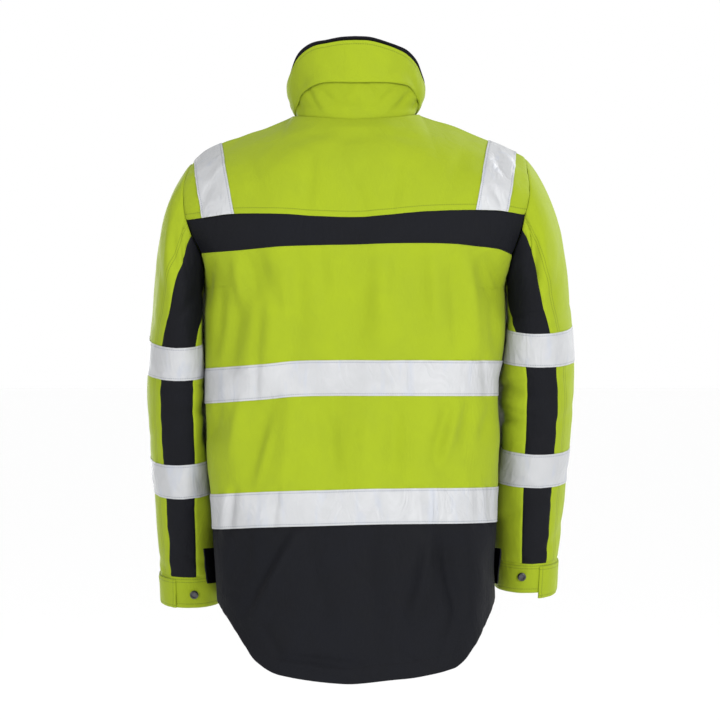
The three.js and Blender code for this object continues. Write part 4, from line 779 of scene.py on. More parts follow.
def add_front(side, yoke):
    parts = [
        front_grid(side, None, waist_top, 330), front_grid(side, waist_top, waist_bottom, 49),
        front_grid(side, waist_bottom, hip_top, 127), front_grid(side, hip_top, hip_bottom, 49),
    ]
    u, spans = join_rows([part[0] for part in parts])
    v, _ = join_rows([part[1] for part in parts])
    front = body_places("front", u, v)
    front_name = f"front_{side}"
    panel(front_name, front, rests_on=["back_yoke_cloth"])
    tape(f"waist_tape_front_{side}", rows_of(front, spans[1]))
    tape(f"hip_tape_front_{side}", rows_of(front, spans[3]))
    hem = body_places("front", *front_grid(side, hip_bottom, front_hem, 104))
    panel(f"front_lower_{side}", hem, "black_cloth", [front_name + "_cloth"])

    first = 40
    front_part = columns_of(rows_of(front, spans[0]), first, first + SHOULDER_TAPE_COLUMNS + 1)
    start = 8 if side == "right" else yoke[0].shape[1] - 9 - SHOULDER_TAPE_COLUMNS
    back_part = columns_of(yoke, start, start + SHOULDER_TAPE_COLUMNS + 1)
    if side == "right":
        back_part = tuple(g[:, ::-1] for g in back_part)
    whole = tuple(np.concatenate([b[::-1], f[1:]]) for b, f in zip(back_part, front_part))
    tape(f"shoulder_tape_{side}", whole, lift=SHOULDER_LAY_GAP)


FORWARD_SEAM = 230
SLEEVE_COLUMNS = {"outside": 76, "strip": 24, "under": 44}


def sleeve_columns(side, down):
    outer, inner = STRIP[side](down, "outer"), STRIP[side](down, "inner")
    spread = {name: spaced(count * PANEL_SPACING) for name, count in SLEEVE_COLUMNS.items()}
    parts = [
        lerp(FORWARD_SEAM - 360, outer[:, None], spread["outside"]),
        lerp(outer[:, None], inner[:, None], spread["strip"]),
        lerp(inner[:, None], FORWARD_SEAM, spread["under"]),
    ]
    edges = np.cumsum([0] + [part.shape[1] - 1 for part in parts])
    return np.concatenate([parts[0], parts[1][:, 1:], parts[2][:, 1:]], axis=1), edges


def tape_span(side, middle):
    per_ring = np.linalg.norm(ring_centre(side, middle + 0.5) - ring_centre(side, middle - 0.5))
    half = SLEEVE_TAPE / per_ring / 2
    return middle - half, middle + half


def add_sleeve(side):
    upper_top, upper_bottom = tape_span(side, ARM[side]["upper_tape"])
    lower_top, lower_bottom = tape_span(side, ARM[side]["lower_tape"])
    cuff_seam = ARM[side]["cuff_seam"]
    lengths = [(-1, upper_top, 190), (upper_top, upper_bottom, 49), (upper_bottom, lower_top, 120),
               (lower_top, lower_bottom, 49), (lower_bottom, cuff_seam, 130)]
    down, spans = join_rows([lerp(start, end, spaced(length)) for start, end, length in lengths])
    around, edges = sleeve_columns(side, down)
    grid = sleeve_surface(side, around, down[:, None])
    names = [f"sleeve_{side}", f"sleeve_strip_{side}", f"under_sleeve_{side}"]
    slots = ["yellow_cloth", "black_cloth", "yellow_cloth"]
    for name, slot, start, end in zip(names, slots, edges[:-1], edges[1:]):
        panel(name, columns_of(grid, start, end + 1), slot, ["back_yoke_cloth"])
    for place, span in {"upper": spans[1], "lower": spans[3]}.items():
        ring = columns_of(rows_of(grid, span), 0, -1)
        tape(f"sleeve_tape_{place}_{side}", ring, closed=True)
    return names[0] + "_cloth"


TAB = {"left": {"end": 62, "dip": 0}, "right": {"end": 66, "dip": 8}}
TAB_START = -62
CUFF_TAB_INSET = 4


def add_cuff(side, sleeve_name):
    cuff_seam, end = ARM[side]["cuff_seam"], ARM[side]["end"]
    down = lerp(cuff_seam, end, spaced(56))[:, None]
    around = steps(0, 360, 96)[:-1]
    cuff = sleeve_surface(side, around, down)
    panel(f"cuff_{side}", cuff, rests_on=[sleeve_name], closed=True, roll="tb")
    per_ring = np.linalg.norm(ring_centre(side, end) - ring_centre(side, end - 1))
    top = cuff_seam + CUFF_TAB_INSET / per_ring
    across = spaced(112)
    dip = TAB[side]["dip"] / per_ring * smooth(across)
    t = spaced(50)[:, None]
    tab = sleeve_surface(side, lerp(TAB_START, TAB[side]["end"], across), lerp(top, end, t) + dip * t)
    piece = cloth_wall(f"cuff_tab_{side}_cloth", tab, SHELL, lift=LAY_GAP)
    finish_piece(piece, "yellow_cloth", [f"cuff_tab_{side}"])


def height_share(around, z):
    base = neckline_point(around)[..., 2]
    return np.clip((z - base) / (both_sides(around, lambda s: COLLAR_TOP(np.abs(around), s)) - base), 0, 1)


def collar_folds(around, height, folds):
    """Small creases of a collar layer: middle degrees, height share, reach, tallness, depth, slant."""
    depth = np.zeros(np.broadcast(around, height).shape)
    for middle, share, reach, tall, deep, slant in folds:
        turn = (around - middle) / reach
        depth = depth + deep * np.exp(-(turn**2) - ((height - share - slant * turn) / tall) ** 2)
    return depth


STAND_CREASES = [
    (-14, 0.34, 7, 0.05, 2.0, 0.1), (-6, 0.24, 8, 0.04, -1.2, 0.1), (10, 0.3, 8, 0.05, 1.8, -0.1), (26, 0.26, 9, 0.05, 2.0, 0.12),
    (34, 0.16, 9, 0.04, -1.3, 0.12), (-30, 0.28, 8, 0.05, 2.2, -0.1), (-38, 0.18, 8, 0.04, -1.4, -0.1), (44, 0.3, 8, 0.06, 2.0, 0.16),
    (-52, 0.3, 8, 0.07, 2.0, -0.14), (68, 0.3, 8, 0.12, 1.4, 0.2), (-72, 0.3, 8, 0.12, 1.4, -0.2), (0, 0.1, 12, 0.03, 1.0, 0.05),
]
OUTER_CREASES = [
    (-4, 0.5, 30, 0.05, 0.7, 0), (20, 0.62, 9, 0.1, 0.8, 0.1), (-34, 0.6, 8, 0.12, 0.9, -0.1), (52, 0.5, 9, 0.12, 1.0, 0.1),
    (-60, 0.5, 10, 0.12, 0.9, 0.1), (100, 0.5, 16, 0.12, 1.2, 0.1), (-104, 0.5, 16, 0.12, 1.2, -0.1), (150, 0.5, 12, 0.2, 1.0, 0.1),
    (-146, 0.5, 12, 0.2, 1.0, 0.1),
]


def free_edge(around):
    """Height share of the outer layer's lower edge, which meets the neckline in front."""
    edge = height_share(around, both_sides(around, lambda s: COLLAR_FREE_EDGE(np.abs(around), s)))
    edge = edge * smooth((112 - np.abs(around)) / 20)
    return edge - BASE_TUCK * (1 - smooth(edge / 0.1))


def outer_top(around):
    return 1 - COLLAR["outer_drop"] * np.cos(np.radians(around) / 2) ** 2


def flare_outer(around, height):
    """The outer layer stands off at its free edge, and bellies out at the sides."""
    side = np.abs(around)
    at_edge = EDGE_FLARE * np.exp(-(((height - free_edge(around)) / 0.13) ** 2)) * smooth((66 - side) / 30)
    belly = both_sides(around, lambda s: SIDE_BELLY[s]) * np.exp(-(((side - 84) / 26) ** 2))
    return at_edge + belly * np.exp(-(((height - 1) / 0.3) ** 2))


def roll_lining(around, height):
    """Above the outer layer the lining rolls out over its edge."""
    return LINING_ROLL * smooth((height - outer_top(around) - 0.004) / 0.024) * smooth((130 - np.abs(around)) / 60)


def seat_stand(around, height):
    """The stand comes out to the neck seam where the outer layer leaves it bare."""
    return STAND_SEAT * (1 - smooth(height / 0.14)) * smooth((84 - np.abs(around)) / 16)


def collar_grid(low, high, length, creases=(), push=None):
    zip_angle = 180 - math.degrees(math.asin(ZIP_OPENING / NECK["left"]))
    columns = lerp(-zip_angle, zip_angle, spaced(500))
    start, end = low(columns), high(columns)
    height = start + (end - start) * spaced(length)[:, None]
    point, normal = collar_surface(columns, height)
    out = waves(point, 0.5) - np.minimum(COLLAR_DEPTH * collar_folds(columns, height, creases), CREASE_LIMIT)
    if push:
        out = out + push(columns, height)
    return point + normal * out[..., None], normal


BASE_TUCK = 0.07
EDGE_FLARE = 3.6
SIDE_BELLY = {"left": 2.4, "right": 0.6}
LINING_ROLL = 6
COLLAR_DEPTH = 1.5
CREASE_LIMIT = 2.1
STAND_SEAT = 3.4


def add_collar():
    def base(around):
        return 0 * around - BASE_TUCK

    def lining_top(around):
        return 1 + 0.045 * smooth((np.abs(around) - 25) / 40)

    def stand_top(around):
        return 0 * around + COLLAR["stand_share"]

    outer_lift = -NECK_SEAM_GAP - COLLAR_WALL / 2
    stand_lift = outer_lift - COLLAR_LAYER_GAP - COLLAR_WALL
    lining_lift = stand_lift - COLLAR_LAYER_GAP - COLLAR_WALL
    layers = [
        ("collar_lining", collar_grid(base, lining_top, 95, (), roll_lining), lining_lift, "collar_lining", "collar_stand_cloth"),
        ("collar_stand", collar_grid(base, stand_top, 70, STAND_CREASES, seat_stand), stand_lift, "yellow_cloth", "collar_outer_cloth"),
        ("collar_outer", collar_grid(free_edge, outer_top, 60, OUTER_CREASES, flare_outer), outer_lift, "yellow_cloth",
         "collar_stand_cloth"),
    ]
    for name, grid, lift, slot, rest in layers:
        piece = cloth_wall(name + "_cloth", grid, COLLAR_WALL, lift=lift, roll="tfl")
        finish_piece(piece, slot, [name])


FLAP_END = {"left": [(211, 2), (206, -7)], "right": [(203.5, 4), (201.5, -7)]}
FLAP_LEAN = 0.1


def add_pocket_flap(side):
    sign = SIGN[side]
    z = FLAP_TOP_Z - FLAP_HEIGHT * spaced(FLAP_HEIGHT)
    shares = steps(0.93, 0.6, 30)
    u = sign * np.broadcast_to(shares, (len(z), len(shares)))
    v = np.stack([down_to_seam("front", row_u, lambda x, row_z=row_z: row_z + 0 * x) for row_u, row_z in zip(u, z)])
    point, normal = body_places("front", u, v)
    free_points, free_normals = [], []
    for x, y in FLAP_END[side]:
        free_points.append(vector(sign * (x - (FLAP_TOP_Z - z) * FLAP_LEAN), y, z))
        free_normals.append(np.broadcast_to(unit(np.array([sign * 0.9, -0.44, 0])), (len(z), 3)))
    # The free end runs on from the panel through its two plan points.
    ends = np.stack(free_points + [point[:, 0], point[:, 1]], axis=1)
    end_normals = np.stack(free_normals + [normal[:, 0], normal[:, 1]], axis=1)
    fine_points = np.concatenate([lerp(ends[:, i:i + 1], ends[:, i + 1:i + 2], steps(0, 1, 4)[:-1][None, :, None]) for i in range(3)], axis=1)
    fine_normals = np.concatenate([lerp(end_normals[:, i:i + 1], end_normals[:, i + 1:i + 2], steps(0, 1, 4)[:-1][None, :, None]) for i in range(3)], axis=1)
    grid = np.concatenate([fine_points, point[:, 1:]], axis=1), unit(np.concatenate([fine_normals, normal[:, 1:]], axis=1))
    piece = cloth_wall(f"pocket_flap_{side}_cloth", grid, COLLAR_WALL, lift=FLAP_LIFT, roll_deep=0.5)
    finish_piece(piece, "black_cloth", [f"pocket_flap_{side}"])


# Materials
def new_group(name, inputs, outputs):
    group = bpy.data.node_groups.new(name, "ShaderNodeTree")
    for label, default in inputs:
        socket = group.interface.new_socket(label, in_out="INPUT", socket_type="NodeSocketFloat")
        socket.default_value = default
    for label in outputs:
        group.interface.new_socket(label, in_out="OUTPUT", socket_type="NodeSocketFloat")
    return group, group.nodes.new("NodeGroupInput"), group.nodes.new("NodeGroupOutput")


def math_node(tree, operation, *values):
    """A Math node; each value is a number or a socket."""
    node = tree.nodes.new("ShaderNodeMath")
    node.operation = operation
    for i, value in enumerate(values):
        if isinstance(value, (int, float)):
            node.inputs[i].default_value = value
        else:
            tree.links.new(value, node.inputs[i])
    return node.outputs[0]


def map_range(tree, value, low, high, to_low, to_high):
    node = tree.nodes.new("ShaderNodeMapRange")
    node.interpolation_type = "SMOOTHSTEP"
    tree.links.new(value, node.inputs["Value"])
    for label, number in zip(("From Min", "From Max", "To Min", "To Max"), (low, high, to_low, to_high)):
        node.inputs[label].default_value = number
    return node.outputs["Result"]


def noise(tree, coordinates, scale, detail=3, roughness=0.55, distortion=0.0):
    node = tree.nodes.new("ShaderNodeTexNoise")
    node.inputs["Scale"].default_value = scale
    node.inputs["Detail"].default_value = detail
    node.inputs["Roughness"].default_value = roughness
    node.inputs["Distortion"].default_value = distortion
    tree.links.new(coordinates, node.inputs["Vector"])
    return node.outputs["Fac"]


def make_stitch_group():
    """A row of stitches along an edge of a piece: where the thread shows, and the groove it pulls."""
    labels = [("Distance", 0), ("Along", 0), ("Offset", 0.003), ("Stitch length", 0.0032), ("Thread width", 0.0009)]
    group, given, result = new_group("Stitch row", labels, ["Thread", "Height"])
    off = math_node(group, "ABSOLUTE", math_node(group, "SUBTRACT", given.outputs["Distance"], given.outputs["Offset"]))
    beside = math_node(group, "DIVIDE", off, given.outputs["Thread width"])
    line = map_range(group, beside, 0.35, 1.0, 1, 0)
    turn = math_node(group, "FRACT", math_node(group, "DIVIDE", given.outputs["Along"], given.outputs["Stitch length"]))
    from_middle = math_node(group, "ABSOLUTE", math_node(group, "SUBTRACT", turn, 0.5))
    dash = map_range(group, from_middle, 0.3, 0.42, 1, 0)
    thread = math_node(group, "MULTIPLY", line, dash)
    groove = map_range(group, beside, 0, 2.6, -1, 0)
    height = math_node(group, "ADD", groove, math_node(group, "MULTIPLY", thread, 0.8))
    group.links.new(thread, result.inputs["Thread"])
    group.links.new(height, result.inputs["Height"])
    return group


def make_weave_group():
    """A fine twill over the piece's own flat coordinates, with a soft slub to it."""
    group, given, result = new_group("Twill weave", [("Pitch", 0.0009), ("Slub", 0.35)], ["Height", "Shade"])
    flat = group.nodes.new("ShaderNodeUVMap")
    flat.uv_map = "Cloth"
    split = group.nodes.new("ShaderNodeSeparateXYZ")
    group.links.new(flat.outputs["UV"], split.inputs["Vector"])
    across = math_node(group, "DIVIDE", split.outputs["X"], given.outputs["Pitch"])
    down = math_node(group, "DIVIDE", split.outputs["Y"], given.outputs["Pitch"])
    diagonal = math_node(group, "SINE", math_node(group, "MULTIPLY", math_node(group, "ADD", across, down), 2 * math.pi))
    thread = math_node(group, "SINE", math_node(group, "MULTIPLY", math_node(group, "SUBTRACT", across, down), 4 * math.pi))
    twill = math_node(group, "ADD", diagonal, math_node(group, "MULTIPLY", thread, 0.4))
    slub = noise(group, flat.outputs["UV"], 420, 2)
    height = math_node(group, "ADD", twill, math_node(group, "MULTIPLY", slub, given.outputs["Slub"]))
    group.links.new(height, result.inputs["Height"])
    group.links.new(slub, result.inputs["Shade"])
    return group


def make_wear_group():
    """How one piece of cloth differs from place to place: handling marks, fading and small crumples."""
    group, given, result = new_group("Cloth wear", [("Crumple", 1.0)], ["Fade", "Height"])
    place = group.nodes.new("ShaderNodeTexCoord").outputs["Object"]
    broad = noise(group, place, 9, 3, 0.6, 0.4)
    patchy = noise(group, place, 46, 4, 0.6, 0.2)
    stretch = group.nodes.new("ShaderNodeMapping")
    stretch.inputs["Scale"].default_value = (1.0, 1.0, 0.45)
    group.links.new(place, stretch.inputs["Vector"])
    crumple = noise(group, stretch.outputs["Vector"], 34, 2, 0.5, 1.2)
    ridged = math_node(group, "ABSOLUTE", math_node(group, "SUBTRACT", crumple, 0.5))
    height = math_node(group, "MULTIPLY", ridged, given.outputs["Crumple"])
    fade = math_node(group, "ADD", math_node(group, "MULTIPLY", broad, 0.65), math_node(group, "MULTIPLY", patchy, 0.35))
    group.links.new(fade, result.inputs["Fade"])
    group.links.new(height, result.inputs["Height"])
    return group


# One finish per slot: base colours, how rough, sheen, twill depth and crumple of each cloth
FINISH = {
    "yellow_cloth": {"dark": (0.134, 0.174, 0.0033), "light": (0.147, 0.190, 0.0042), "rough": (0.72, 0.85), "sheen": 0.03, "shine": 0.12,
                     "weave": 0.10, "crumple": 0.6, "thread": (0.088, 0.116, 0.004)},
    "black_cloth": {"dark": (0.0022, 0.0024, 0.0034), "light": (0.0036, 0.0039, 0.0054), "rough": (0.62, 0.8), "sheen": 0.0, "shine": 0.06,
                    "weave": 0.12, "crumple": 1.0, "thread": (0.003, 0.003, 0.004)},
    "collar_lining": {"dark": (0.003, 0.003, 0.0042), "light": (0.005, 0.005, 0.007), "rough": (0.8, 0.95), "sheen": 0.0, "shine": 0.05,
                      "weave": 0.05, "crumple": 0.6, "thread": (0.012, 0.012, 0.014)},
    "reflective_tape": {"dark": (0.214, 0.218, 0.224), "light": (0.246, 0.250, 0.256), "rough": (0.5, 0.62), "sheen": 0.0, "shine": 0.3,
                        "weave": 0.05, "crumple": 1.5, "thread": (0.14, 0.147, 0.165)},
    "zip_cloth": {"dark": (0.010, 0.010, 0.011), "light": (0.018, 0.018, 0.019), "rough": (0.7, 0.85), "sheen": 0.2,
                  "weave": 0.12, "crumple": 0.1, "thread": (0.01, 0.01, 0.01)},
}
# Rows of stitches on each piece: edge letter (t, b, f, l: top, bottom, first, last) and millimetres in from it
STITCHES = {
    "back_yoke": [("b", 8)],
    "back_chest_band": [("b", 3)],
    "back_body": [("f", 6), ("l", 6)],
    "back_hem_panel": [("b", 22), ("t", 3)],
    "front": [("f", 8)],
    "front_lower": [("b", 22), ("f", 8)],
    "sleeve": [("l", 14), ("l", 18)],
    "cuff": [("t", 3), ("t", 7), ("b", 6)],
    "cuff_tab": [("t", 4), ("b", 4), ("f", 4), ("l", 4)],
    "collar_outer": [("b", 5)],
    "collar_lining": [("b", 5)],
    "collar_stand": [],
    "pocket_flap": [("t", 4), ("b", 4), ("f", 4)],
    "shoulder_tape": [("f", 3), ("l", 3)],
    "tape": [("t", 3), ("b", 3)],
    "plain": [],
}


def uv_axes(tree):
    """Sockets of a piece's distances from each edge, in metres: first, top, last and bottom."""
    found = {}
    for layer, letters in {"Cloth": "ft", "Far": "lb"}.items():
        node = tree.nodes.new("ShaderNodeUVMap")
        node.uv_map = layer
        split = tree.nodes.new("ShaderNodeSeparateXYZ")
        tree.links.new(node.outputs["UV"], split.inputs["Vector"])
        found[letters[0]], found[letters[1]] = split.outputs["X"], split.outputs["Y"]
    return found


def color_mix(tree, factor, low, high):
    node = tree.nodes.new("ShaderNodeMix")
    node.data_type = "RGBA"
    tree.links.new(factor, node.inputs["Factor"])
    for label, value in (("A", low), ("B", high)):
        socket = next(s for s in node.inputs if s.name == label and s.type == "RGBA")
        if isinstance(value, tuple):
            socket.default_value = (*value, 1)
        else:
            tree.links.new(value, socket)
    return next(s for s in node.outputs if s.type == "RGBA")


def bump(tree, height, depth, distance, after=None):
    node = tree.nodes.new("ShaderNodeBump")
    node.inputs["Strength"].default_value = depth
    node.inputs["Distance"].default_value = distance
    tree.links.new(height, node.inputs["Height"])
    if after is not None:
        tree.links.new(after, node.inputs["Normal"])
    return node.outputs["Normal"]


cloth_materials = {}


def cloth_material(slot, layout):
    """The finish of a slot with one layout of stitch rows."""
    key = f"{slot}_{layout}"
    if key in cloth_materials:
        return cloth_materials[key]
    look = FINISH[slot]
    material = bpy.data.materials.new(key)
    material.use_nodes = True
    tree = material.node_tree
    shader = tree.nodes["Principled BSDF"]
    wear = tree.nodes.new("ShaderNodeGroup")
    wear.node_tree = groups["wear"]
    wear.inputs["Crumple"].default_value = look["crumple"]
    weave = tree.nodes.new("ShaderNodeGroup")
    weave.node_tree = groups["weave"]
    fade = map_range(tree, wear.outputs["Fade"], 0.3, 0.7, 0, 1)
    color = color_mix(tree, fade, look["dark"], look["light"])
    normal = bump(tree, wear.outputs["Height"], 0.5, 0.004)
    normal = bump(tree, weave.outputs["Height"], look["weave"], 0.0003, normal)
    edges = uv_axes(tree)
    threads, heights = None, None
    for letter, inset in STITCHES[layout]:
        row = tree.nodes.new("ShaderNodeGroup")
        row.node_tree = groups["stitch"]
        row.inputs["Offset"].default_value = inset * MM
        tree.links.new(edges[letter], row.inputs["Distance"])
        tree.links.new(edges["f" if letter in "tb" else "t"], row.inputs["Along"])
        if threads is None:
            threads, heights = row.outputs["Thread"], row.outputs["Height"]
        else:
            threads = math_node(tree, "MAXIMUM", threads, row.outputs["Thread"])
            heights = math_node(tree, "ADD", heights, row.outputs["Height"])
    if threads is not None:
        color = color_mix(tree, threads, color, look["thread"])
        normal = bump(tree, heights, 0.3, 0.0008, normal)
    if slot == "reflective_tape":
        color = tape_streaks(tree, color)
        shader.inputs["Metallic"].default_value = 0.1
    tree.links.new(color, shader.inputs["Base Color"])
    tree.links.new(normal, shader.inputs["Normal"])
    tree.links.new(map_range(tree, wear.outputs["Fade"], 0.3, 0.7, *look["rough"]), shader.inputs["Roughness"])
    shader.inputs["Sheen Weight"].default_value = look["sheen"]
    shader.inputs["Sheen Roughness"].default_value = 0.5
    shader.inputs["Specular IOR Level"].default_value = look["shine"]
    cloth_materials[key] = material
    return material


def tape_streaks(tree, color):
    """Faint bluish streaks and scuffs along the silver of the tape."""
    place = tree.nodes.new("ShaderNodeTexCoord").outputs["Object"]
    stretch = tree.nodes.new("ShaderNodeMapping")
    stretch.inputs["Scale"].default_value = (1.0, 1.0, 0.2)
    tree.links.new(place, stretch.inputs["Vector"])
    streak = noise(tree, stretch.outputs["Vector"], 60, 3, 0.6, 0.3)
    color = color_mix(tree, map_range(tree, streak, 0.52, 0.72, 0, 0.4), color, (0.19, 0.208, 0.25))
    scuff = noise(tree, place, 240, 4, 0.7, 0.2)
    return color_mix(tree, map_range(tree, scuff, 0.62, 0.8, 0, 0.4), color, (0.165, 0.17, 0.185))


def hard_material(name, color, rough, metallic, grain):
    """A hard finish with a fine grain and worn patches."""
    material = bpy.data.materials.new(name)
    material.use_nodes = True
    tree = material.node_tree
    shader = tree.nodes["Principled BSDF"]
    place = tree.nodes.new("ShaderNodeTexCoord").outputs["Object"]
    worn = noise(tree, place, 380, 4, 0.6, 0.3)
    lighter = tuple(min(c * 2.2 + 0.02, 1) for c in color)
    tree.links.new(color_mix(tree, map_range(tree, worn, 0.5, 0.75, 0, 1), color, lighter), shader.inputs["Base Color"])
    tree.links.new(map_range(tree, worn, 0.3, 0.7, rough - 0.08, rough + 0.12), shader.inputs["Roughness"])
    tree.links.new(bump(tree, noise(tree, place, 1400, 2), grain, 0.0002), shader.inputs["Normal"])
    shader.inputs["Metallic"].default_value = metallic
    return material


LAYOUTS = ["back_yoke", "back_chest_band", "back_body", "back_hem_panel", "front_lower", "front", "sleeve_tape", "sleeve_strip",
           "under_sleeve", "sleeve", "cuff_tab", "cuff", "collar_outer", "collar_lining", "collar_stand", "pocket_flap", "shoulder_tape",
           "waist_tape", "hip_tape", "zip_tape"]
SAME_LAYOUT = {"sleeve_tape": "tape", "waist_tape": "tape", "hip_tape": "tape", "sleeve_strip": "plain", "under_sleeve": "plain", "zip_tape": "plain"}


def dress_cloth():
    for piece in [o for o in bpy.data.objects if o.name.endswith("_cloth")]:
        layout = next(name for name in LAYOUTS if piece.name.startswith(name))
        slot = slot_of[piece.name]
        piece.data.materials.clear()
        piece.data.materials.append(cloth_material(slot, SAME_LAYOUT.get(layout, layout)))


# Zip teeth along the front closure, modelled once and copied
TOOTH = {"wide": 3.4, "tall": 1.5, "thick": 2.2, "pitch": 2.9, "offset": 0.9}


def zip_path():
    """Middle of the closure from the hem up the front and the collar, evenly spaced, with its outward normals."""
    bottom = down_to_seam("front", np.array([0.0]), lambda x: FRONT_HEM_Z + 4 + 0 * x)[0]
    front = plain_body_point("front", 0.0, lerp(bottom, 0.02, np.arange(200) / 199))
    collar, _ = collar_surface(180.0, lerp(0.1, 0.97, np.arange(30) / 29))
    path = np.concatenate([front, collar])
    path[:, 0] = 0
    window = np.ones(9) / 9
    for axis in (1, 2):
        path[4:-4, axis] = np.convolve(path[:, axis], window, mode="valid")
    along = np.concatenate([[0], np.cumsum(np.linalg.norm(np.diff(path, axis=0), axis=1))])
    tangent = unit(np.gradient(path, along, axis=0))
    return along, path, tangent


def add_zip_teeth():
    bpy.ops.object.select_all(action="DESELECT")
    bpy.ops.mesh.primitive_cube_add(size=1)
    tooth = bpy.context.active_object
    tooth.scale = (TOOTH["wide"] * MM, TOOTH["thick"] * MM, TOOTH["tall"] * MM)
    bpy.ops.object.transform_apply(location=False, rotation=False, scale=True)
    modifier = tooth.modifiers.new("Bevel", "BEVEL")
    modifier.width = 0.35 * MM
    modifier.segments = 2
    bpy.ops.object.modifier_apply(modifier="Bevel")
    mesh = tooth.data
    shape = np.array([v.co[:] for v in mesh.vertices])
    mesh.calc_loop_triangles()
    triangles = np.array([t.vertices[:] for t in mesh.loop_triangles])
    along, path, tangent = zip_path()
    points, faces = [], []
    end = along[-1] - ZIP_SLIDER_LENGTH - 1
    for i, place in enumerate(np.arange(1.5, end, TOOTH["pitch"] / 2)):
        middle = np.array([np.interp(place, along, path[:, axis]) for axis in range(3)])
        way = unit(np.array([np.interp(place, along, tangent[:, axis]) for axis in range(3)]))
        outward = np.array([0, -way[2], way[1]])
        middle = middle + outward * ZIP_CHAIN_LIFT
        middle[0] = TOOTH["offset"] * (1 if i % 2 else -1)
        turned = shape[:, :1] * np.array([1.0, 0, 0]) + shape[:, 1:2] * outward + shape[:, 2:] * way
        faces.append(triangles + len(points) * len(shape))
        points.append(turned + middle * MM)
    bpy.data.objects.remove(tooth)
    piece = new_mesh("zip_teeth", np.concatenate(points), np.concatenate(faces))
    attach(piece, JACKET)
    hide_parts("zip_chain")
    piece.data.materials.append(hard_material("zip_plastic_finish", (0.012, 0.012, 0.013), 0.42, 0.0, 0.2))


ZIP_SLIDER_LENGTH = 15
ZIP_CHAIN_LIFT = -1.4


def dress_kept_nodes():
    zip_metal = hard_material("zip_metal_finish", (0.16, 0.16, 0.17), 0.34, 0.85, 0.3)
    kept = {"zip_slider": zip_metal, "zip_pull": zip_metal}
    for side in SIGN:
        kept[f"cuff_snap_{side}"] = stud_material(f"cuff_snap_{side}")
    for name, material in kept.items():
        node = frame["nodes"][name]
        node.data.materials.clear()
        node.data.materials.append(material)
    ribbed = cloth_material_plain()
    for side in SIGN:
        node = frame["nodes"][f"zip_tape_{side}"]
        node.data.materials.clear()
        node.data.materials.append(ribbed)


def stud_material(name):
    """Dark lacquered stud with a paler worn cap, by the distance from its middle."""
    material = hard_material(name + "_finish", (0.012, 0.012, 0.014), 0.4, 0.5, 0.3)
    tree = material.node_tree
    shader = tree.nodes["Principled BSDF"]
    low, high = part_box(name)
    from_middle = tree.nodes.new("ShaderNodeVectorMath")
    from_middle.operation = "DISTANCE"
    tree.links.new(tree.nodes.new("ShaderNodeTexCoord").outputs["Object"], from_middle.inputs[0])
    from_middle.inputs[1].default_value = tuple((a + b) / 2 for a, b in zip(low, high))
    cap = map_range(tree, from_middle.outputs["Value"], STUD_CAP, STUD_CAP + 0.0012, 1, 0)
    tree.links.new(color_mix(tree, cap, shader.inputs["Base Color"].links[0].from_socket, (0.03, 0.03, 0.034)), shader.inputs["Base Color"])
    return material


STUD_CAP = 0.0022


def cloth_material_plain():
    """Ribbed black zip tape, on object coordinates."""
    material = bpy.data.materials.new("zip_tape_finish")
    material.use_nodes = True
    tree = material.node_tree
    shader = tree.nodes["Principled BSDF"]
    place = tree.nodes.new("ShaderNodeTexCoord").outputs["Object"]
    split = tree.nodes.new("ShaderNodeSeparateXYZ")
    tree.links.new(place, split.inputs["Vector"])
    ribs = math_node(tree, "SINE", math_node(tree, "MULTIPLY", split.outputs["Z"], 2 * math.pi / 0.0012))
    speckle = noise(tree, place, 600, 3)
    tree.links.new(color_mix(tree, speckle, (0.010, 0.010, 0.011), (0.022, 0.022, 0.024)), shader.inputs["Base Color"])
    tree.links.new(bump(tree, ribs, 0.3, 0.0003), shader.inputs["Normal"])
    tree.links.new(map_range(tree, speckle, 0.3, 0.7, 0.7, 0.9), shader.inputs["Roughness"])
    return material


# Camera, floor and light
PHOTO_CAMERA = {"x": -0.007, "y": 7.0, "z": -0.339, "lens": 250, "sensor": 36}
FLOOR_Z = -1.5
FLOOR_SIZE = 400


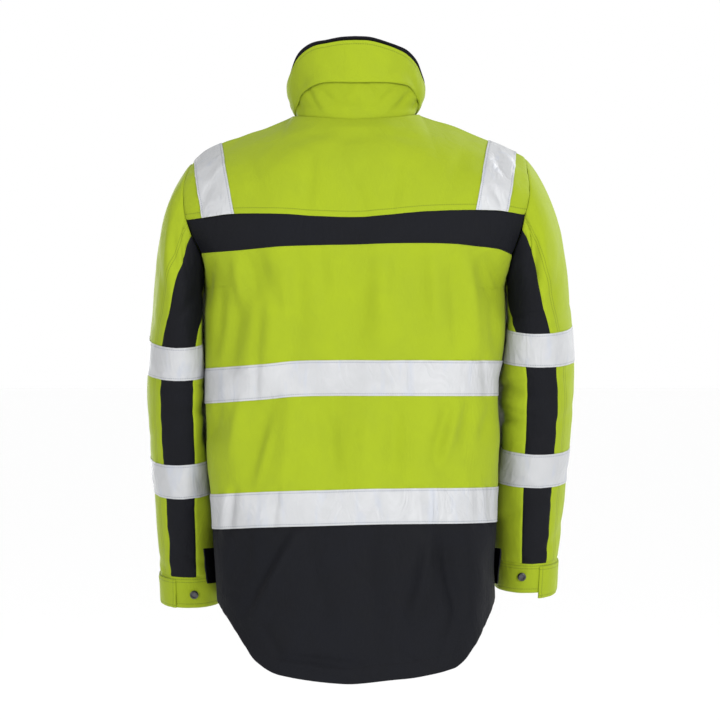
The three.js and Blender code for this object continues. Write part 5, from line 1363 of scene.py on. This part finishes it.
def add_camera():
    camera = bpy.data.objects.new("photo_camera", bpy.data.cameras.new("photo_camera"))
    camera.location = (PHOTO_CAMERA["x"], PHOTO_CAMERA["y"], PHOTO_CAMERA["z"])
    camera.rotation_euler = (math.radians(90), 0, math.radians(180))
    camera.data.lens = PHOTO_CAMERA["lens"]
    camera.data.sensor_width = PHOTO_CAMERA["sensor"]
    camera.data.clip_end = 500
    bpy.context.scene.collection.objects.link(camera)
    bpy.context.scene.camera = camera


def add_floor():
    half = FLOOR_SIZE / 2
    corners = np.array([(-half, -half, FLOOR_Z), (half, -half, FLOOR_Z), (half, half, FLOOR_Z), (-half, half, FLOOR_Z)])
    floor = new_mesh("floor", corners, np.array([[0, 1, 2, 3]]))
    material = bpy.data.materials.new("pale_floor")
    material.use_nodes = True
    shader = material.node_tree.nodes["Principled BSDF"]
    shader.inputs["Base Color"].default_value = (0.985, 0.985, 0.985, 1)
    shader.inputs["Roughness"].default_value = 0.9
    floor.data.materials.append(material)


# Soft boxes: place, size, watts. They all face the middle of the jacket.
SOFT_BOXES = {
    "key": ((-2.8, 4.2, 1.3), 1.2, 325),
    "fill": ((3.1, 4.2, 0.6), 1.8, 192),
    "front_key": ((-3.2, -2.6, 1.7), 1.3, 210),
    "front_fill": ((2.2, -5.2, 0.3), 2.0, 190),
    "top": ((0.0, 0.8, 3.2), 2.2, 36),
}
AIM = (0.0, 0.0, -0.35)
WORLD_LIGHT = 1.0


def add_lights():
    for name, (place, size, watts) in SOFT_BOXES.items():
        data = bpy.data.lights.new(name, "AREA")
        data.size = size
        data.energy = watts
        light = bpy.data.objects.new(name, data)
        light.location = place
        light.rotation_euler = (Vector(AIM) - Vector(place)).to_track_quat("-Z", "Y").to_euler()
        bpy.context.scene.collection.objects.link(light)
    world = bpy.data.worlds.new("studio")
    world.use_nodes = True
    background = world.node_tree.nodes["Background"]
    background.inputs["Color"].default_value = (1, 1, 1, 1)
    background.inputs["Strength"].default_value = WORLD_LIGHT
    bpy.context.scene.world = world


yoke = yoke_grid()
add_collar()
add_back(yoke)
for side in SIGN:
    add_front(side, yoke)
    add_cuff(side, add_sleeve(side))
    add_pocket_flap(side)
groups = {"stitch": make_stitch_group(), "weave": make_weave_group(), "wear": make_wear_group()}
dress_cloth()
add_zip_teeth()
dress_kept_nodes()
add_floor()
add_lights()
add_camera()
bpy.context.scene.view_settings.view_transform = "Standard"
